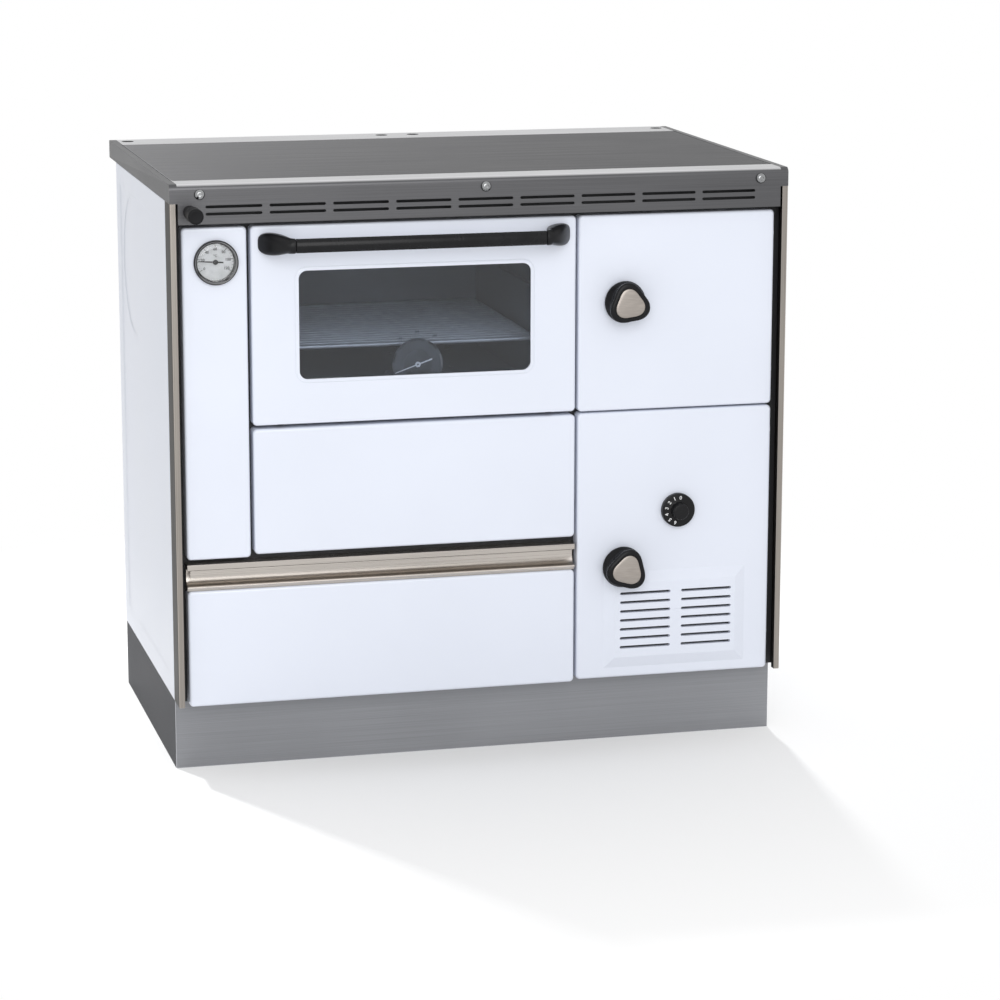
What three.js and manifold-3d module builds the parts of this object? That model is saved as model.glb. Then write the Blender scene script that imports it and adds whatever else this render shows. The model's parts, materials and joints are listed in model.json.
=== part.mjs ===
// A wood-fired kitchen cooker with a back boiler, an oven, a wood drawer and a flush hob.
// Millimetres, +Z up. The front faces -Y and the hob frame is centred on X and Y before the
// whole cooker is set over the middle of its own box at the end.
import * as THREE from 'three';
import { mergeVertices } from 'three/addons/utils/BufferGeometryUtils.js';
import Module from 'manifold-3d';

const wasm = await Module();
wasm.setup();

// ---------------------------------------------------------------- driving dimensions

// Overall, measured on the hob frame, which is the widest and deepest piece.
const WIDTH = 900;
const DEPTH = 600;
const HEIGHT = 850;

// Clearances.
const FIT = 0.3; // between a piece and what it sits in or turns in
const SEAM = 0.7; // joint line between the drawer's grip and the strip over it
const HOB_GAP = 1; // round the hob plate
const TRIM_GAP = 8.2; // between a corner trim and the doors
const APRON_GAP = 3; // between the apron's end and a corner trim
const MOUTH_FIT = 3; // between the drawer's box and the hole it passes through

// Hob frame.
const HOB_FASCIA = 27;
const HOB_SHEET = 3;
const RIM_SIDE = 9.6;
const RIM_FRONT = 46.4;
const RIM_BACK = 73;
const RIM_EDGE = 8; // radius of the rounded front edge
const RIM_WEB = 3;
const HOB_LEDGE = 12;
const HOB_PLATE = 9;
const PLATE_EDGE = 1;
const RIM_HOLE_RADIUS = 9.5;
const RIM_HOLE_SETBACK = 27; // from the back edge
const RIM_HOLE_INSET = 25; // from the side, and from the middle

// Apron under the hob's front edge, with its air slots and the bolts of the rail fixings.
const APRON_DROP = 29.6;
const APRON_SHEET = 2;
const APRON_LIP = 10;
const SLOT_SPACE = 10; // between two slots of a row
const SLOT_HEIGHT = 4;
const SLOT_COUNT = 9;
const SLOT_MARGIN = 50; // from the side to the first slot
const SLOT_ROWS = [32, 42]; // below the top
const BOLT_RADIUS = 7.5;
const BOLT_DOME = 5.5;
const BOLT_SHANK = 3.9;
const BOLT_LENGTH = 8;
const BOLT_INSET = 42; // from the side
const BOLT_DROP = 14.5;

// Casing.
const SHEET = 3;
const BACK_SHEET = 2;
const FLANGE = 20;
const PLINTH_HEIGHT = 102.6;
const PLINTH_FRONT_INSET = 46.3;
const PLINTH_SIDE_INSET = 1;
const BODY_BACK_INSET = 68.8;
const SIDE_FRONT_INSET = 45;
const FIELD = { front: 75, back: 39, bottom: 31, top: 28, depth: 1.2, slope: 4 };
const KNOCKOUT = { back: 163.2, drop: 162, radius: 105, depth: 1, slope: 3 };
const TRIM_WIDTH = 8.5;
const TRIM_SHEET = 1.5;
const TRIM_RETURN = 43;
const TRIM_LIP = 12;
const FRAME_INSET = 35; // front frame behind the front plane
const FRAME_SHEET = 3;

// Doors and panels: one plane, a little behind the trims.
const DOOR_RECESS = 9;
const DOOR_DEPTH = 22;
const DOOR_WALL = 2;
const DOOR_EDGE = 4;
const DOOR_CORNER = 6;
const DOOR_TOP = 61.6; // below the top
const NARROW_WIDTH = 92.1;
const NARROW_LIFT = 6.5; // over the strip
const NARROW_SPACE = 5.2;
const FIRE_WIDTH = 294;
const OVEN_HEIGHT = 284;
const OVEN_SPACE = 3.7;
const FIRE_HEIGHT = 285.3;
const ROW_GAP = 4.8; // under the oven door
const FIRE_ROW_GAP = 2.4; // under the fire door
const LOWER_LIFT = 10.2; // over the strip
const ASH_LIFT = 0.3; // over the plinth

// Drawer for wood, with its grip strip, and the fixed strip above.
const DRAWER_BOTTOM = 100.1;
const DRAWER_HEIGHT = 169.5;
const GRIP_BASE = 2;
const GRIP_HEIGHT = 30;
const GRIP_NOSE = 3.6; // radius
const GRIP_RECESS = 14;
const GRIP_LIP = { height: 10.4, setback: 1, sheet: 2, short: 4 };
const STRIP_HEIGHT = 7.8;
const BOX_SHEET = 2;
const BOX_HEIGHT = 138;
const BOX_DEPTH = 478;
const BOX_SIDE_INSET = 10.5;
const RUNNER_LIFT = 6;
const RUNNER_LEG = 23;
const RUNNER_WALL = 44;

// Oven: window, glass, liner, muffle and rack.
const WINDOW = { left: 67.2, right: 67.6, bottom: 64.5, top: 64.9, corner: 12 };
const BEAD_WIDTH = 6;
const BEAD_RISE = 2;
const GLASS = 4;
const TUNNEL_MARGIN = 13.5;
const TUNNEL_BELOW = 28;
const TUNNEL_SHEET = 1.5;
const LINER = 2.2;
const OVEN_LINER_LIFT = 12;
const MUFFLE = { left: 40, right: 39.6, bottom: 30.6, top: 13.4, depth: 412, flange: 12 };
const RACK_LEVEL = 68; // over the oven floor
const RACK_STEP = 77;
const RACK_RAIL = 10;
const RACK_BAR = 3; // radius
const RACK_WIRE = 1.5; // radius
const RACK_DEPTH = 370;
const RACK_SETBACK = 17;
const RACK_PITCH = 20;

// Oven thermometer behind the glass.
const METER = { x: 240.5, up: 77.2, radius: 37, sheet: 1.5, setback: 12, foot: 5, pin: 1.2 };
const METER_NEEDLE = { arm: 35, tail: 22, hub: 4, degrees: 199 };

// Oven door handle.
const HANDLE_DROP = 24.4; // below the door's top
const HANDLE_REACH = 42; // door to the middle of the bar
const BAR_HEIGHT = 20;
const BAR_DEPTH = 14;
const BAR_INSET = 56; // bar's end from the door's edge
const FOOT_INSET = 10; // foot's tip from the door's edge
const FOOT_HEIGHT = 31;
const FOOT_CURVE = { // how far its curves' handles lie from their ends
  tip: 2, rise: 22, lead: 18, neck: 6, waist: 9, root: 4, heel: 14, toe: 12, blade: 26, turn: 8,
};

// Hinges.
const OVEN_AXIS = { behind: 7, up: 5, pin: 2.3, lug: 3.5, width: 8, ear: 4, inset: 36 };
const DOOR_AXIS = { behind: 10, inset: 8.3, pin: 3, lug: 4.5, height: 6, ear: 5, reach: 10 };
const HINGE_LOWER = { fire: 42, ash: 47 }; // above the door's bottom
const HINGE_UPPER = { fire: 43.3, ash: 45.8 }; // below the door's top

// Turned knobs of the fire door and the ash door.
const KNOB_RADIUS = 30.5;
const KNOB_HEIGHT = 54;
const KNOB_NECK = { radius: 8, height: 5.7 }; // clears the vent's raised field
const KNOB_WAIST = 25.5;
const KNOB_LOBE = 0.1;
const KNOB_INSET = 68; // axis from the door's left edge
const FIRE_KNOB_UP = 159;
const ASH_KNOB_UP = 168;
const FIRE_KNOB_TURN = 98;
const ASH_KNOB_TURN = 74;
const CAP_RADIUS = 23;
const CAP_THICK = 1.6;
const LATCH_RADIUS = 5;
const LATCH_REACH = 29; // shaft inside the knob
const LATCH_TONGUE = { length: 23, width: 12, thick: 5, behind: 5 };

// Ash door: vent, flap and thermostat.
const VENT = { left: 40.6, right: 37.3, bottom: 15.5, height: 143.8, slope: 16, rise: 5 };
const VENT_SLOT = {
  left: 23.9, middle: 16.5, right: 21.7, height: 4, pitch: 13.5, count: 7, bottom: 31,
};
const FLAP = { sheet: 2, rod: 2, side: 8, above: 16, below: 11, ear: 3 };
const DIAL = {
  x: 151.5, up: 249, radius: 24.8, disc: 9, grip: 12.5, height: 22, spindle: 3, body: 18,
};

// Boiler thermometer on the narrow panel.
const GAUGE = { x: 48, drop: 49.3, radius: 32.8, collar: 6, barrel: 29.6, depth: 20, pin: 1 };
const GAUGE_NEEDLE = { arm: 24, tail: 11, hub: 3.6, degrees: 176 };
const NEEDLE_THICK = 1.2;

// Damper.
const DAMPER = { x: 28, drop: 38.5, rod: 4, knob: 9.25, front: 11, length: 55, bore: 35 };
const SLIDE = { width: 136, depth: 65, thick: 2, lug: 7, lap: 8 };

// Fire side: boiler, grate and ash pan.
const BOILER = { left: 6.7, right: 22, front: 60, back: 29.2, wall: 33, top: 50 };
const LEDGE = 10;
const MOUTH = { stile: 18, fireBottom: 37, fireTop: 26, ashBottom: 25 }; // in the front frame
const GRATE_DROP = 375; // grate's top below the hob
const GRATE = 20;
const GRATE_SLOT = { width: 8, pitch: 17, count: 11, margin: 22 };
const PAN = {
  floor: 277, height: 70, wall: 2, front: 55, back: 32, side: 6, play: 2, seat: 8,
  tab: { reach: 8, width: 80 },
};
const STUB = { inset: 110, radius: 16, bore: 12, reach: 30.8, flowDrop: 85, ret: 160 };

// Flue.
const FLUE = { inset: 110, drop: 162, radius: 74, wall: 3, flange: 90, length: 54 };
const SMOKE = { width: 216, drop: 54, height: 196, depth: 77, sheet: 2 };

// ---------------------------------------------------------------- planes and regions

const SIDE = WIDTH / 2;
const FRONT = -DEPTH / 2;
const BACK = DEPTH / 2;
const FASCIA_BOTTOM = HEIGHT - HOB_FASCIA;
const FACE = FRONT + DOOR_RECESS;
const DOOR_BACK = FACE + DOOR_DEPTH;
const FRAME_FACE = FRONT + FRAME_INSET;
const FRAME_BACK = FRAME_FACE + FRAME_SHEET;
const CASE_FRONT = FRONT + SIDE_FRONT_INSET;
const BODY_BACK = BACK - BODY_BACK_INSET;
const CASE_BACK = BODY_BACK - BACK_SHEET;
const DOORS_EDGE = SIDE - TRIM_WIDTH - TRIM_GAP;
const UPPER_TOP = HEIGHT - DOOR_TOP;
const DAMPER_X = -SIDE + DAMPER.x;
const DAMPER_Z = HEIGHT - DAMPER.drop;
const FLUE_X = -SIDE + FLUE.inset;
const FLUE_Z = HEIGHT - FLUE.drop;
const SMOKE_TOP = HEIGHT - SMOKE.drop;
const STUB_X = SIDE - STUB.inset;
const FLOW_Z = HEIGHT - STUB.flowDrop;

const NARROW_LEFT = -DOORS_EDGE;
const OVEN_LEFT = NARROW_LEFT + NARROW_WIDTH + NARROW_SPACE;
const FIRE_LEFT = DOORS_EDGE - FIRE_WIDTH;
const OVEN_RIGHT = FIRE_LEFT - OVEN_SPACE;
const OVEN_BOTTOM = UPPER_TOP - OVEN_HEIGHT;
const FIRE_BOTTOM = UPPER_TOP - FIRE_HEIGHT;
const LOWER_TOP = OVEN_BOTTOM - ROW_GAP;
const ASH_TOP = FIRE_BOTTOM - FIRE_ROW_GAP;
const DRAWER_TOP = DRAWER_BOTTOM + DRAWER_HEIGHT;
const GRIP_BOTTOM = DRAWER_TOP + FIT;
const STRIP_BOTTOM = GRIP_BOTTOM + GRIP_HEIGHT + SEAM;
const STRIP_TOP = STRIP_BOTTOM + STRIP_HEIGHT;

const region = (x0, x1, z0, z1) => ({ x0, x1, z0, z1 });
const inset = (r, left, right, bottom, top) =>
  region(r.x0 + left, r.x1 - right, r.z0 + bottom, r.z1 - top);

const narrowPanel = region(
  NARROW_LEFT, NARROW_LEFT + NARROW_WIDTH, STRIP_TOP + NARROW_LIFT, UPPER_TOP);
const ovenDoor = region(OVEN_LEFT, OVEN_RIGHT, OVEN_BOTTOM, UPPER_TOP);
const fireDoor = region(FIRE_LEFT, DOORS_EDGE, FIRE_BOTTOM, UPPER_TOP);
const lowerPanel = region(OVEN_LEFT, OVEN_RIGHT, STRIP_TOP + LOWER_LIFT, LOWER_TOP);
const ashDoor = region(FIRE_LEFT, DOORS_EDGE, PLINTH_HEIGHT + ASH_LIFT, ASH_TOP);
const ventField = region(
  ashDoor.x0 + VENT.left, ashDoor.x1 - VENT.right,
  ashDoor.z0 + VENT.bottom, ashDoor.z0 + VENT.bottom + VENT.height);
const drawerFace = region(NARROW_LEFT, OVEN_RIGHT, DRAWER_BOTTOM, DRAWER_TOP);

const ovenWindow = inset(ovenDoor, WINDOW.left, WINDOW.right, WINDOW.bottom, WINDOW.top);
const tunnel = inset(ovenWindow, -TUNNEL_MARGIN, -TUNNEL_MARGIN, -TUNNEL_BELOW, -TUNNEL_MARGIN);
const ovenMouth = inset(ovenDoor, MUFFLE.left, MUFFLE.right, MUFFLE.bottom, MUFFLE.top);
const drawerBox = region(
  drawerFace.x0 + BOX_SIDE_INSET, drawerFace.x1 - BOX_SIDE_INSET,
  PLINTH_HEIGHT + RUNNER_LIFT + SHEET + FIT, PLINTH_HEIGHT + RUNNER_LIFT + SHEET + BOX_HEIGHT);
const drawerMouth = inset(drawerBox, -MOUTH_FIT, -MOUTH_FIT, -MOUTH_FIT + 1, -MOUTH_FIT);

const BOILER_LEFT = FIRE_LEFT + BOILER.left;
const BOILER_RIGHT = SIDE - BOILER.right;
const firebox = region(
  BOILER_LEFT + BOILER.wall, BOILER_RIGHT - BOILER.wall, HEIGHT - GRATE_DROP, HEIGHT - BOILER.top);
const fireMouth = region(
  firebox.x0 + MOUTH.stile, firebox.x1 + LEDGE,
  FIRE_BOTTOM + MOUTH.fireBottom, UPPER_TOP - MOUTH.fireTop);
const ashMouth = region(
  firebox.x0 + MOUTH.stile, firebox.x1 + LEDGE, ashDoor.z0 + MOUTH.ashBottom, firebox.z0 - GRATE / 4);
const panLeft = ashMouth.x0 + PAN.play;

// ---------------------------------------------------------------- finishes

const FINISH = {
  enamel: { color: 0xe8edf9, roughness: 0.25, metalness: 0 },
  casing: { color: 0xdadde7, roughness: 0.3, metalness: 0 },
  steel: { color: 0x8f9092, roughness: 0.35, metalness: 0.9 },
  fascia: { color: 0x5c5b5e, roughness: 0.4, metalness: 0.8 },
  trim: { color: 0xa39b93, roughness: 0.35, metalness: 0.8 },
  hob: { color: 0x8c8c90, roughness: 0.4, metalness: 0.7 },
  frame: { color: 0x2b2c2e, roughness: 0.6, metalness: 0.3 },
  plastic: { color: 0x232426, roughness: 0.45, metalness: 0 },
  nickel: { color: 0xa0988f, roughness: 0.3, metalness: 0.8 },
  chrome: { color: 0xd0d2d4, roughness: 0.12, metalness: 1 },
  glass: { color: 0x3b3d42, roughness: 0.05, metalness: 0 },
  dial: { color: 0xb9bcc0, roughness: 0.4, metalness: 0.2 },
  muffle: { color: 0x4a4b4e, roughness: 0.5, metalness: 0.2 },
  iron: { color: 0x38383a, roughness: 0.75, metalness: 0.4 },
  sheet: { color: 0x9fa2a5, roughness: 0.45, metalness: 0.7 },
  plinth: { color: 0x8a8b8d, roughness: 0.55, metalness: 0.1 },
};

// ---------------------------------------------------------------- solid building tools

// Turns a closed geometry into a solid, whichever way round its outline was drawn.
function solid(geometry) {
  geometry.deleteAttribute('normal');
  geometry.deleteAttribute('uv');
  const merged = mergeVertices(geometry, 1e-4);
  const index = merged.index.array;
  const vertices = new Float32Array(merged.attributes.position.array);
  const corner = [new THREE.Vector3(), new THREE.Vector3(), new THREE.Vector3()];
  const triangles = [];
  let volume = 0;
  for (let i = 0; i < index.length; i += 3) {
    const [a, b, c] = [index[i], index[i + 1], index[i + 2]];
    if (a === b || b === c || c === a) {
      continue;
    }
    triangles.push(a, b, c);
    [a, b, c].forEach((v, k) => corner[k].fromArray(vertices, 3 * v));
    volume += corner[0].dot(corner[1].clone().cross(corner[2]));
  }
  if (volume < 0) {
    triangles.reverse();
  }
  return new wasm.Manifold(new wasm.Mesh({
    numProp: 3,
    vertProperties: vertices,
    triVerts: new Uint32Array(triangles),
  }));
}

// A box whose faces lie exactly on the planes given, so that blocks can meet face to face.
function block(xa, xb, ya, yb, za, zb) {
  const geometry = new THREE.BoxGeometry(1, 1, 1);
  const place = geometry.attributes.position;
  const pick = (sign, a, b) => (sign < 0 ? Math.min(a, b) : Math.max(a, b));
  for (let i = 0; i < place.count; i += 1) {
    place.setXYZ(
      i, pick(place.getX(i), xa, xb), pick(place.getY(i), ya, yb), pick(place.getZ(i), za, zb));
  }
  return solid(geometry);
}

function roundedOutline(r, radius) {
  const shape = new THREE.Shape();
  shape.moveTo(r.x0 + radius, r.z0);
  shape.lineTo(r.x1 - radius, r.z0);
  shape.absarc(r.x1 - radius, r.z0 + radius, radius, -Math.PI / 2, 0);
  shape.lineTo(r.x1, r.z1 - radius);
  shape.absarc(r.x1 - radius, r.z1 - radius, radius, 0, Math.PI / 2);
  shape.lineTo(r.x0 + radius, r.z1);
  shape.absarc(r.x0 + radius, r.z1 - radius, radius, Math.PI / 2, Math.PI);
  shape.lineTo(r.x0, r.z0 + radius);
  shape.absarc(r.x0 + radius, r.z0 + radius, radius, Math.PI, 1.5 * Math.PI);
  return shape;
}

function polygon(points) {
  return new THREE.Shape(points.map(([u, v]) => new THREE.Vector2(u, v)));
}

// An outline in X and Z, from its front plane back. A positive edge rounds the front rim;
// an edge with its own depth slopes it instead.
function slab(outline, front, back, edge = 0, edgeDepth = edge, segments = 2, arc = 3) {
  const geometry = new THREE.ExtrudeGeometry(outline, {
    depth: back - front - edgeDepth,
    bevelEnabled: edge > 0,
    bevelSize: edge,
    bevelThickness: edgeDepth,
    bevelOffset: -edge,
    bevelSegments: segments,
    curveSegments: arc,
  });
  const shape = solid(geometry.rotateX(Math.PI / 2).translate(0, back, 0));
  if (edge === 0) {
    return shape;
  }
  return shape.subtract(block(-WIDTH, WIDTH, back, back + edgeDepth + 1, -HEIGHT, 2 * HEIGHT));
}

// An outline in Y and Z, from one X to another.
function barX(outline, x0, x1, segments = 5) {
  const options = { depth: x1 - x0, bevelEnabled: false, curveSegments: segments };
  const geometry = new THREE.ExtrudeGeometry(outline, options);
  const toX = new THREE.Matrix4().makeBasis(
    new THREE.Vector3(0, 1, 0), new THREE.Vector3(0, 0, 1), new THREE.Vector3(1, 0, 0));
  return solid(geometry.applyMatrix4(toX).translate(x0, 0, 0));
}

// An outline in X and Y, from one Z to another.
function postZ(outline, z0, z1, segments = 5) {
  const options = { depth: z1 - z0, bevelEnabled: false, curveSegments: segments };
  return solid(new THREE.ExtrudeGeometry(outline, options).translate(0, 0, z0));
}

function rod(from, to, radius, sides = 16) {
  const a = new THREE.Vector3(...from);
  const b = new THREE.Vector3(...to);
  const along = b.clone().sub(a);
  const geometry = new THREE.CylinderGeometry(radius, radius, along.length(), sides);
  const turn = new THREE.Quaternion().setFromUnitVectors(
    new THREE.Vector3(0, 1, 0), along.clone().normalize());
  const middle = a.add(b).multiplyScalar(0.5);
  return solid(geometry.applyQuaternion(turn).translate(middle.x, middle.y, middle.z));
}

// A turned piece whose axis points at the viewer: each point is a radius and a distance in
// front of the plane y. An outline function may press the round into lobes.
function turnedFront(points, x, y, z, sides = 24, lobes = () => 1) {
  const profile = points.map(([radius, out]) => new THREE.Vector2(radius, out));
  const geometry = new THREE.LatheGeometry(profile, sides);
  const place = geometry.attributes.position;
  for (let i = 0; i < place.count; i += 1) {
    const angle = Math.atan2(-place.getZ(i), place.getX(i));
    const factor = lobes(angle, place.getY(i));
    place.setX(i, place.getX(i) * factor);
    place.setZ(i, place.getZ(i) * factor);
  }
  return solid(geometry.rotateX(Math.PI).translate(x, y, z));
}

// A slot with round ends, cut from front to back.
function slotCut(x0, z, length, height, front, back, arc = 2) {
  const r = region(x0, x0 + length, z - height / 2, z + height / 2);
  return slab(roundedOutline(r, height / 2 - 0.01), front, back, 0, 0, 1, arc);
}

// A pressed sheet panel: rounded corners and front edge, hollow and open at the back.
function pressedPanel(r, back) {
  const outside = slab(roundedOutline(r, DOOR_CORNER), FACE, back, DOOR_EDGE);
  const hollow = inset(r, DOOR_WALL, DOOR_WALL, DOOR_WALL, DOOR_WALL);
  return outside.subtract(
    slab(roundedOutline(hollow, DOOR_CORNER - DOOR_WALL), FACE + DOOR_WALL, back + 1));
}

// ---------------------------------------------------------------- assembly tools

const cooker = new THREE.Group();
cooker.userData.pivot = new THREE.Vector3();

// A group that moves about or along its own pivot point.
function movingGroup(parent, x, y, z) {
  const group = new THREE.Group();
  group.userData.pivot = new THREE.Vector3(x, y, z);
  group.position.copy(group.userData.pivot).sub(parent.userData.pivot);
  parent.add(group);
  return group;
}

function piece(group, name, finish, shape) {
  const { vertProperties, triVerts } = shape.getMesh();
  const geometry = new THREE.BufferGeometry();
  geometry.setAttribute('position', new THREE.BufferAttribute(vertProperties, 3));
  geometry.setIndex(new THREE.BufferAttribute(triVerts, 1));
  geometry.computeVertexNormals();
  const mesh = new THREE.Mesh(
    geometry, new THREE.MeshStandardMaterial({ ...finish, flatShading: true }));
  mesh.name = name;
  mesh.position.copy(group.userData.pivot).negate();
  group.add(mesh);
}

// ---------------------------------------------------------------- casing

function plinth() {
  const x = SIDE - PLINTH_SIDE_INSET;
  const y0 = FRONT + PLINTH_FRONT_INSET;
  const y1 = BODY_BACK;
  return block(-x, x, y0, y1, 0, PLINTH_HEIGHT)
    .subtract(block(SHEET - x, x - SHEET, y0 + SHEET, y1 - SHEET, SHEET, PLINTH_HEIGHT - SHEET))
    .subtract(block(FLANGE - x, x - FLANGE, y0 + FLANGE, y1 - FLANGE, -1, SHEET + 1));
}

// Side panel: a tray with its flanges turned inwards, a sunk field and a round knock-out.
function sidePanel(side) {
  const outside = block(
    side * SIDE, side * (SIDE - FLANGE), CASE_FRONT, CASE_BACK, PLINTH_HEIGHT, FASCIA_BOTTOM);
  const inside = block(
    side * (SIDE - SHEET), side * (SIDE - FLANGE - 1), CASE_FRONT + SHEET, CASE_BACK - SHEET,
    PLINTH_HEIGHT + SHEET, FASCIA_BOTTOM - SHEET);
  const field = sunkField(side).add(knockOut(side));
  return outside.subtract(inside).subtract(field);
}

// Cutter for the sunk field, with sloping sides.
function sunkField(side) {
  const y0 = FRONT + FIELD.front;
  const y1 = BODY_BACK - FIELD.back;
  const z0 = PLINTH_HEIGHT + FIELD.bottom;
  const z1 = FASCIA_BOTTOM - FIELD.top;
  const outline = polygon([[y0, z0], [y1, z0], [y1, z1], [y0, z1]]);
  const geometry = new THREE.ExtrudeGeometry(outline, {
    depth: 2, bevelSize: FIELD.slope, bevelThickness: FIELD.depth, bevelOffset: -FIELD.slope,
    bevelSegments: 1,
  });
  return solid(toSide(geometry, side, 0));
}

// Cutter for the dished knock-out of a side flue outlet.
function knockOut(side) {
  const { back, drop, radius, depth, slope } = KNOCKOUT;
  const geometry = new THREE.CylinderGeometry(radius, radius - slope, depth + 1, 40);
  geometry.rotateX(Math.PI / 2);
  geometry.translate(BODY_BACK - back, HEIGHT - drop, (depth + 1) / 2 - depth);
  return solid(toSide(geometry, side, FIELD.depth));
}

// Lays a geometry with its outline in Y and Z on the outer face of one side, pointing out.
function toSide(geometry, side, sunk) {
  const lay = new THREE.Matrix4().makeBasis(
    new THREE.Vector3(0, 1, 0), new THREE.Vector3(0, 0, 1), new THREE.Vector3(side, 0, 0));
  return geometry.applyMatrix4(lay).translate(side * (SIDE - sunk), 0, 0);
}

function backPanel() {
  const x = SIDE - PLINTH_SIDE_INSET;
  const rear = [CASE_BACK - 1, BODY_BACK + 1];
  const hole = (cx, cz, radius, sides) => rod([cx, rear[0], cz], [cx, rear[1], cz], radius, sides);
  return block(-x, x, CASE_BACK, BODY_BACK, PLINTH_HEIGHT, FASCIA_BOTTOM)
    .subtract(hole(FLUE_X, FLUE_Z, FLUE.radius + 2 * FIT, 32))
    .subtract(hole(STUB_X, FLOW_Z, STUB.radius + 1, 24))
    .subtract(hole(STUB_X, STUB.ret, STUB.radius + 1, 24));
}

// Front frame: one sheet with a turned-back rim and a mouth for each compartment.
function frontFrame() {
  const x = SIDE - TRIM_SHEET;
  const mouth = (r) => block(r.x0, r.x1, FRAME_FACE - 1, CASE_FRONT + 1, r.z0, r.z1);
  return block(-x, x, FRAME_FACE, CASE_FRONT, PLINTH_HEIGHT, FASCIA_BOTTOM)
    .subtract(block(
      FRAME_SHEET - x, x - FRAME_SHEET, FRAME_BACK, CASE_FRONT + 1,
      PLINTH_HEIGHT + FRAME_SHEET, FASCIA_BOTTOM - FRAME_SHEET))
    .subtract(mouth(ovenMouth))
    .subtract(mouth(fireMouth))
    .subtract(mouth(ashMouth))
    .subtract(mouth(drawerMouth))
    .subtract(rod(
      [DAMPER_X, FRAME_FACE - 1, DAMPER_Z], [DAMPER_X, CASE_FRONT, DAMPER_Z], DAMPER.rod + 1));
}

// Corner trim: face, long outer return and short inner lip, bent from one strip.
function cornerTrim(side) {
  const outer = side * SIDE;
  const inner = side * (SIDE - TRIM_WIDTH);
  const sheet = side * TRIM_SHEET;
  const back = FRONT + TRIM_RETURN;
  const lip = FRONT + TRIM_LIP;
  const outline = new THREE.Shape();
  outline.moveTo(outer, back);
  outline.lineTo(outer - sheet, back);
  outline.lineTo(outer - sheet, FRONT + TRIM_SHEET);
  outline.lineTo(inner + sheet, FRONT + TRIM_SHEET);
  outline.lineTo(inner + sheet, lip);
  outline.lineTo(inner, lip);
  outline.lineTo(inner, FRONT);
  outline.lineTo(outer - sheet, FRONT);
  outline.quadraticCurveTo(outer, FRONT, outer, FRONT + TRIM_SHEET);
  return postZ(outline, PLINTH_HEIGHT, FASCIA_BOTTOM, 3);
}

piece(cooker, 'plinth', FINISH.plinth, plinth());
piece(cooker, 'side_panel_left', FINISH.casing, sidePanel(-1));
piece(cooker, 'side_panel_right', FINISH.casing, sidePanel(1));
piece(cooker, 'back_panel', FINISH.sheet, backPanel());
piece(cooker, 'front_frame', FINISH.frame, frontFrame());
piece(cooker, 'corner_trim_left', FINISH.trim, cornerTrim(-1));
piece(cooker, 'corner_trim_right', FINISH.trim, cornerTrim(1));

// ---------------------------------------------------------------- hob

const HOB_OPEN = region(-SIDE + RIM_SIDE, SIDE - RIM_SIDE, FRONT + RIM_FRONT, BACK - RIM_BACK);
const PLATE_BOTTOM = HEIGHT - HOB_PLATE;
const BOLT_X = SIDE - BOLT_INSET;

// Rim with its skirt all round, a ledge for the plate, and hollow from below.
function hobRim() {
  const o = HOB_OPEN;
  const under = PLATE_BOTTOM - HOB_SHEET;
  const outline = new THREE.Shape();
  outline.moveTo(BACK, FASCIA_BOTTOM);
  outline.lineTo(FRONT, FASCIA_BOTTOM);
  outline.lineTo(FRONT, HEIGHT - RIM_EDGE);
  outline.absarc(FRONT + RIM_EDGE, HEIGHT - RIM_EDGE, RIM_EDGE, Math.PI, Math.PI / 2, true);
  outline.lineTo(BACK, HEIGHT);
  const pocket = (x0, x1, y0, y1, top) => block(x0, x1, y0, y1, FASCIA_BOTTOM - 1, top);
  const ledge = inset(o, HOB_LEDGE, HOB_LEDGE, HOB_LEDGE, HOB_LEDGE);
  const skirt = SIDE - HOB_SHEET;
  return barX(outline, -SIDE, SIDE)
    .subtract(block(o.x0, o.x1, o.z0, o.z1, PLATE_BOTTOM, HEIGHT + 1))
    .subtract(block(ledge.x0, ledge.x1, ledge.z0, ledge.z1, FASCIA_BOTTOM - 1, HEIGHT))
    .subtract(pocket(-skirt, skirt, FRONT + APRON_SHEET, BACK - HOB_SHEET, under))
    .subtract(pocket(-skirt, skirt, FRONT + APRON_SHEET, o.z0 - RIM_WEB, HEIGHT - HOB_SHEET))
    .subtract(pocket(-skirt, skirt, o.z1 + RIM_WEB, BACK - HOB_SHEET, HEIGHT - HOB_SHEET));
}

// Apron: the front of the rim carried down between the trims, with its bottom bent back.
function apron() {
  const x = SIDE - TRIM_WIDTH - APRON_GAP;
  const z = FASCIA_BOTTOM - APRON_DROP;
  return block(-x, x, FRONT, FRONT + APRON_SHEET, z, FASCIA_BOTTOM + 1)
    .add(block(-x, x, FRONT, FRONT + APRON_LIP, z, z + APRON_SHEET));
}

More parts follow.
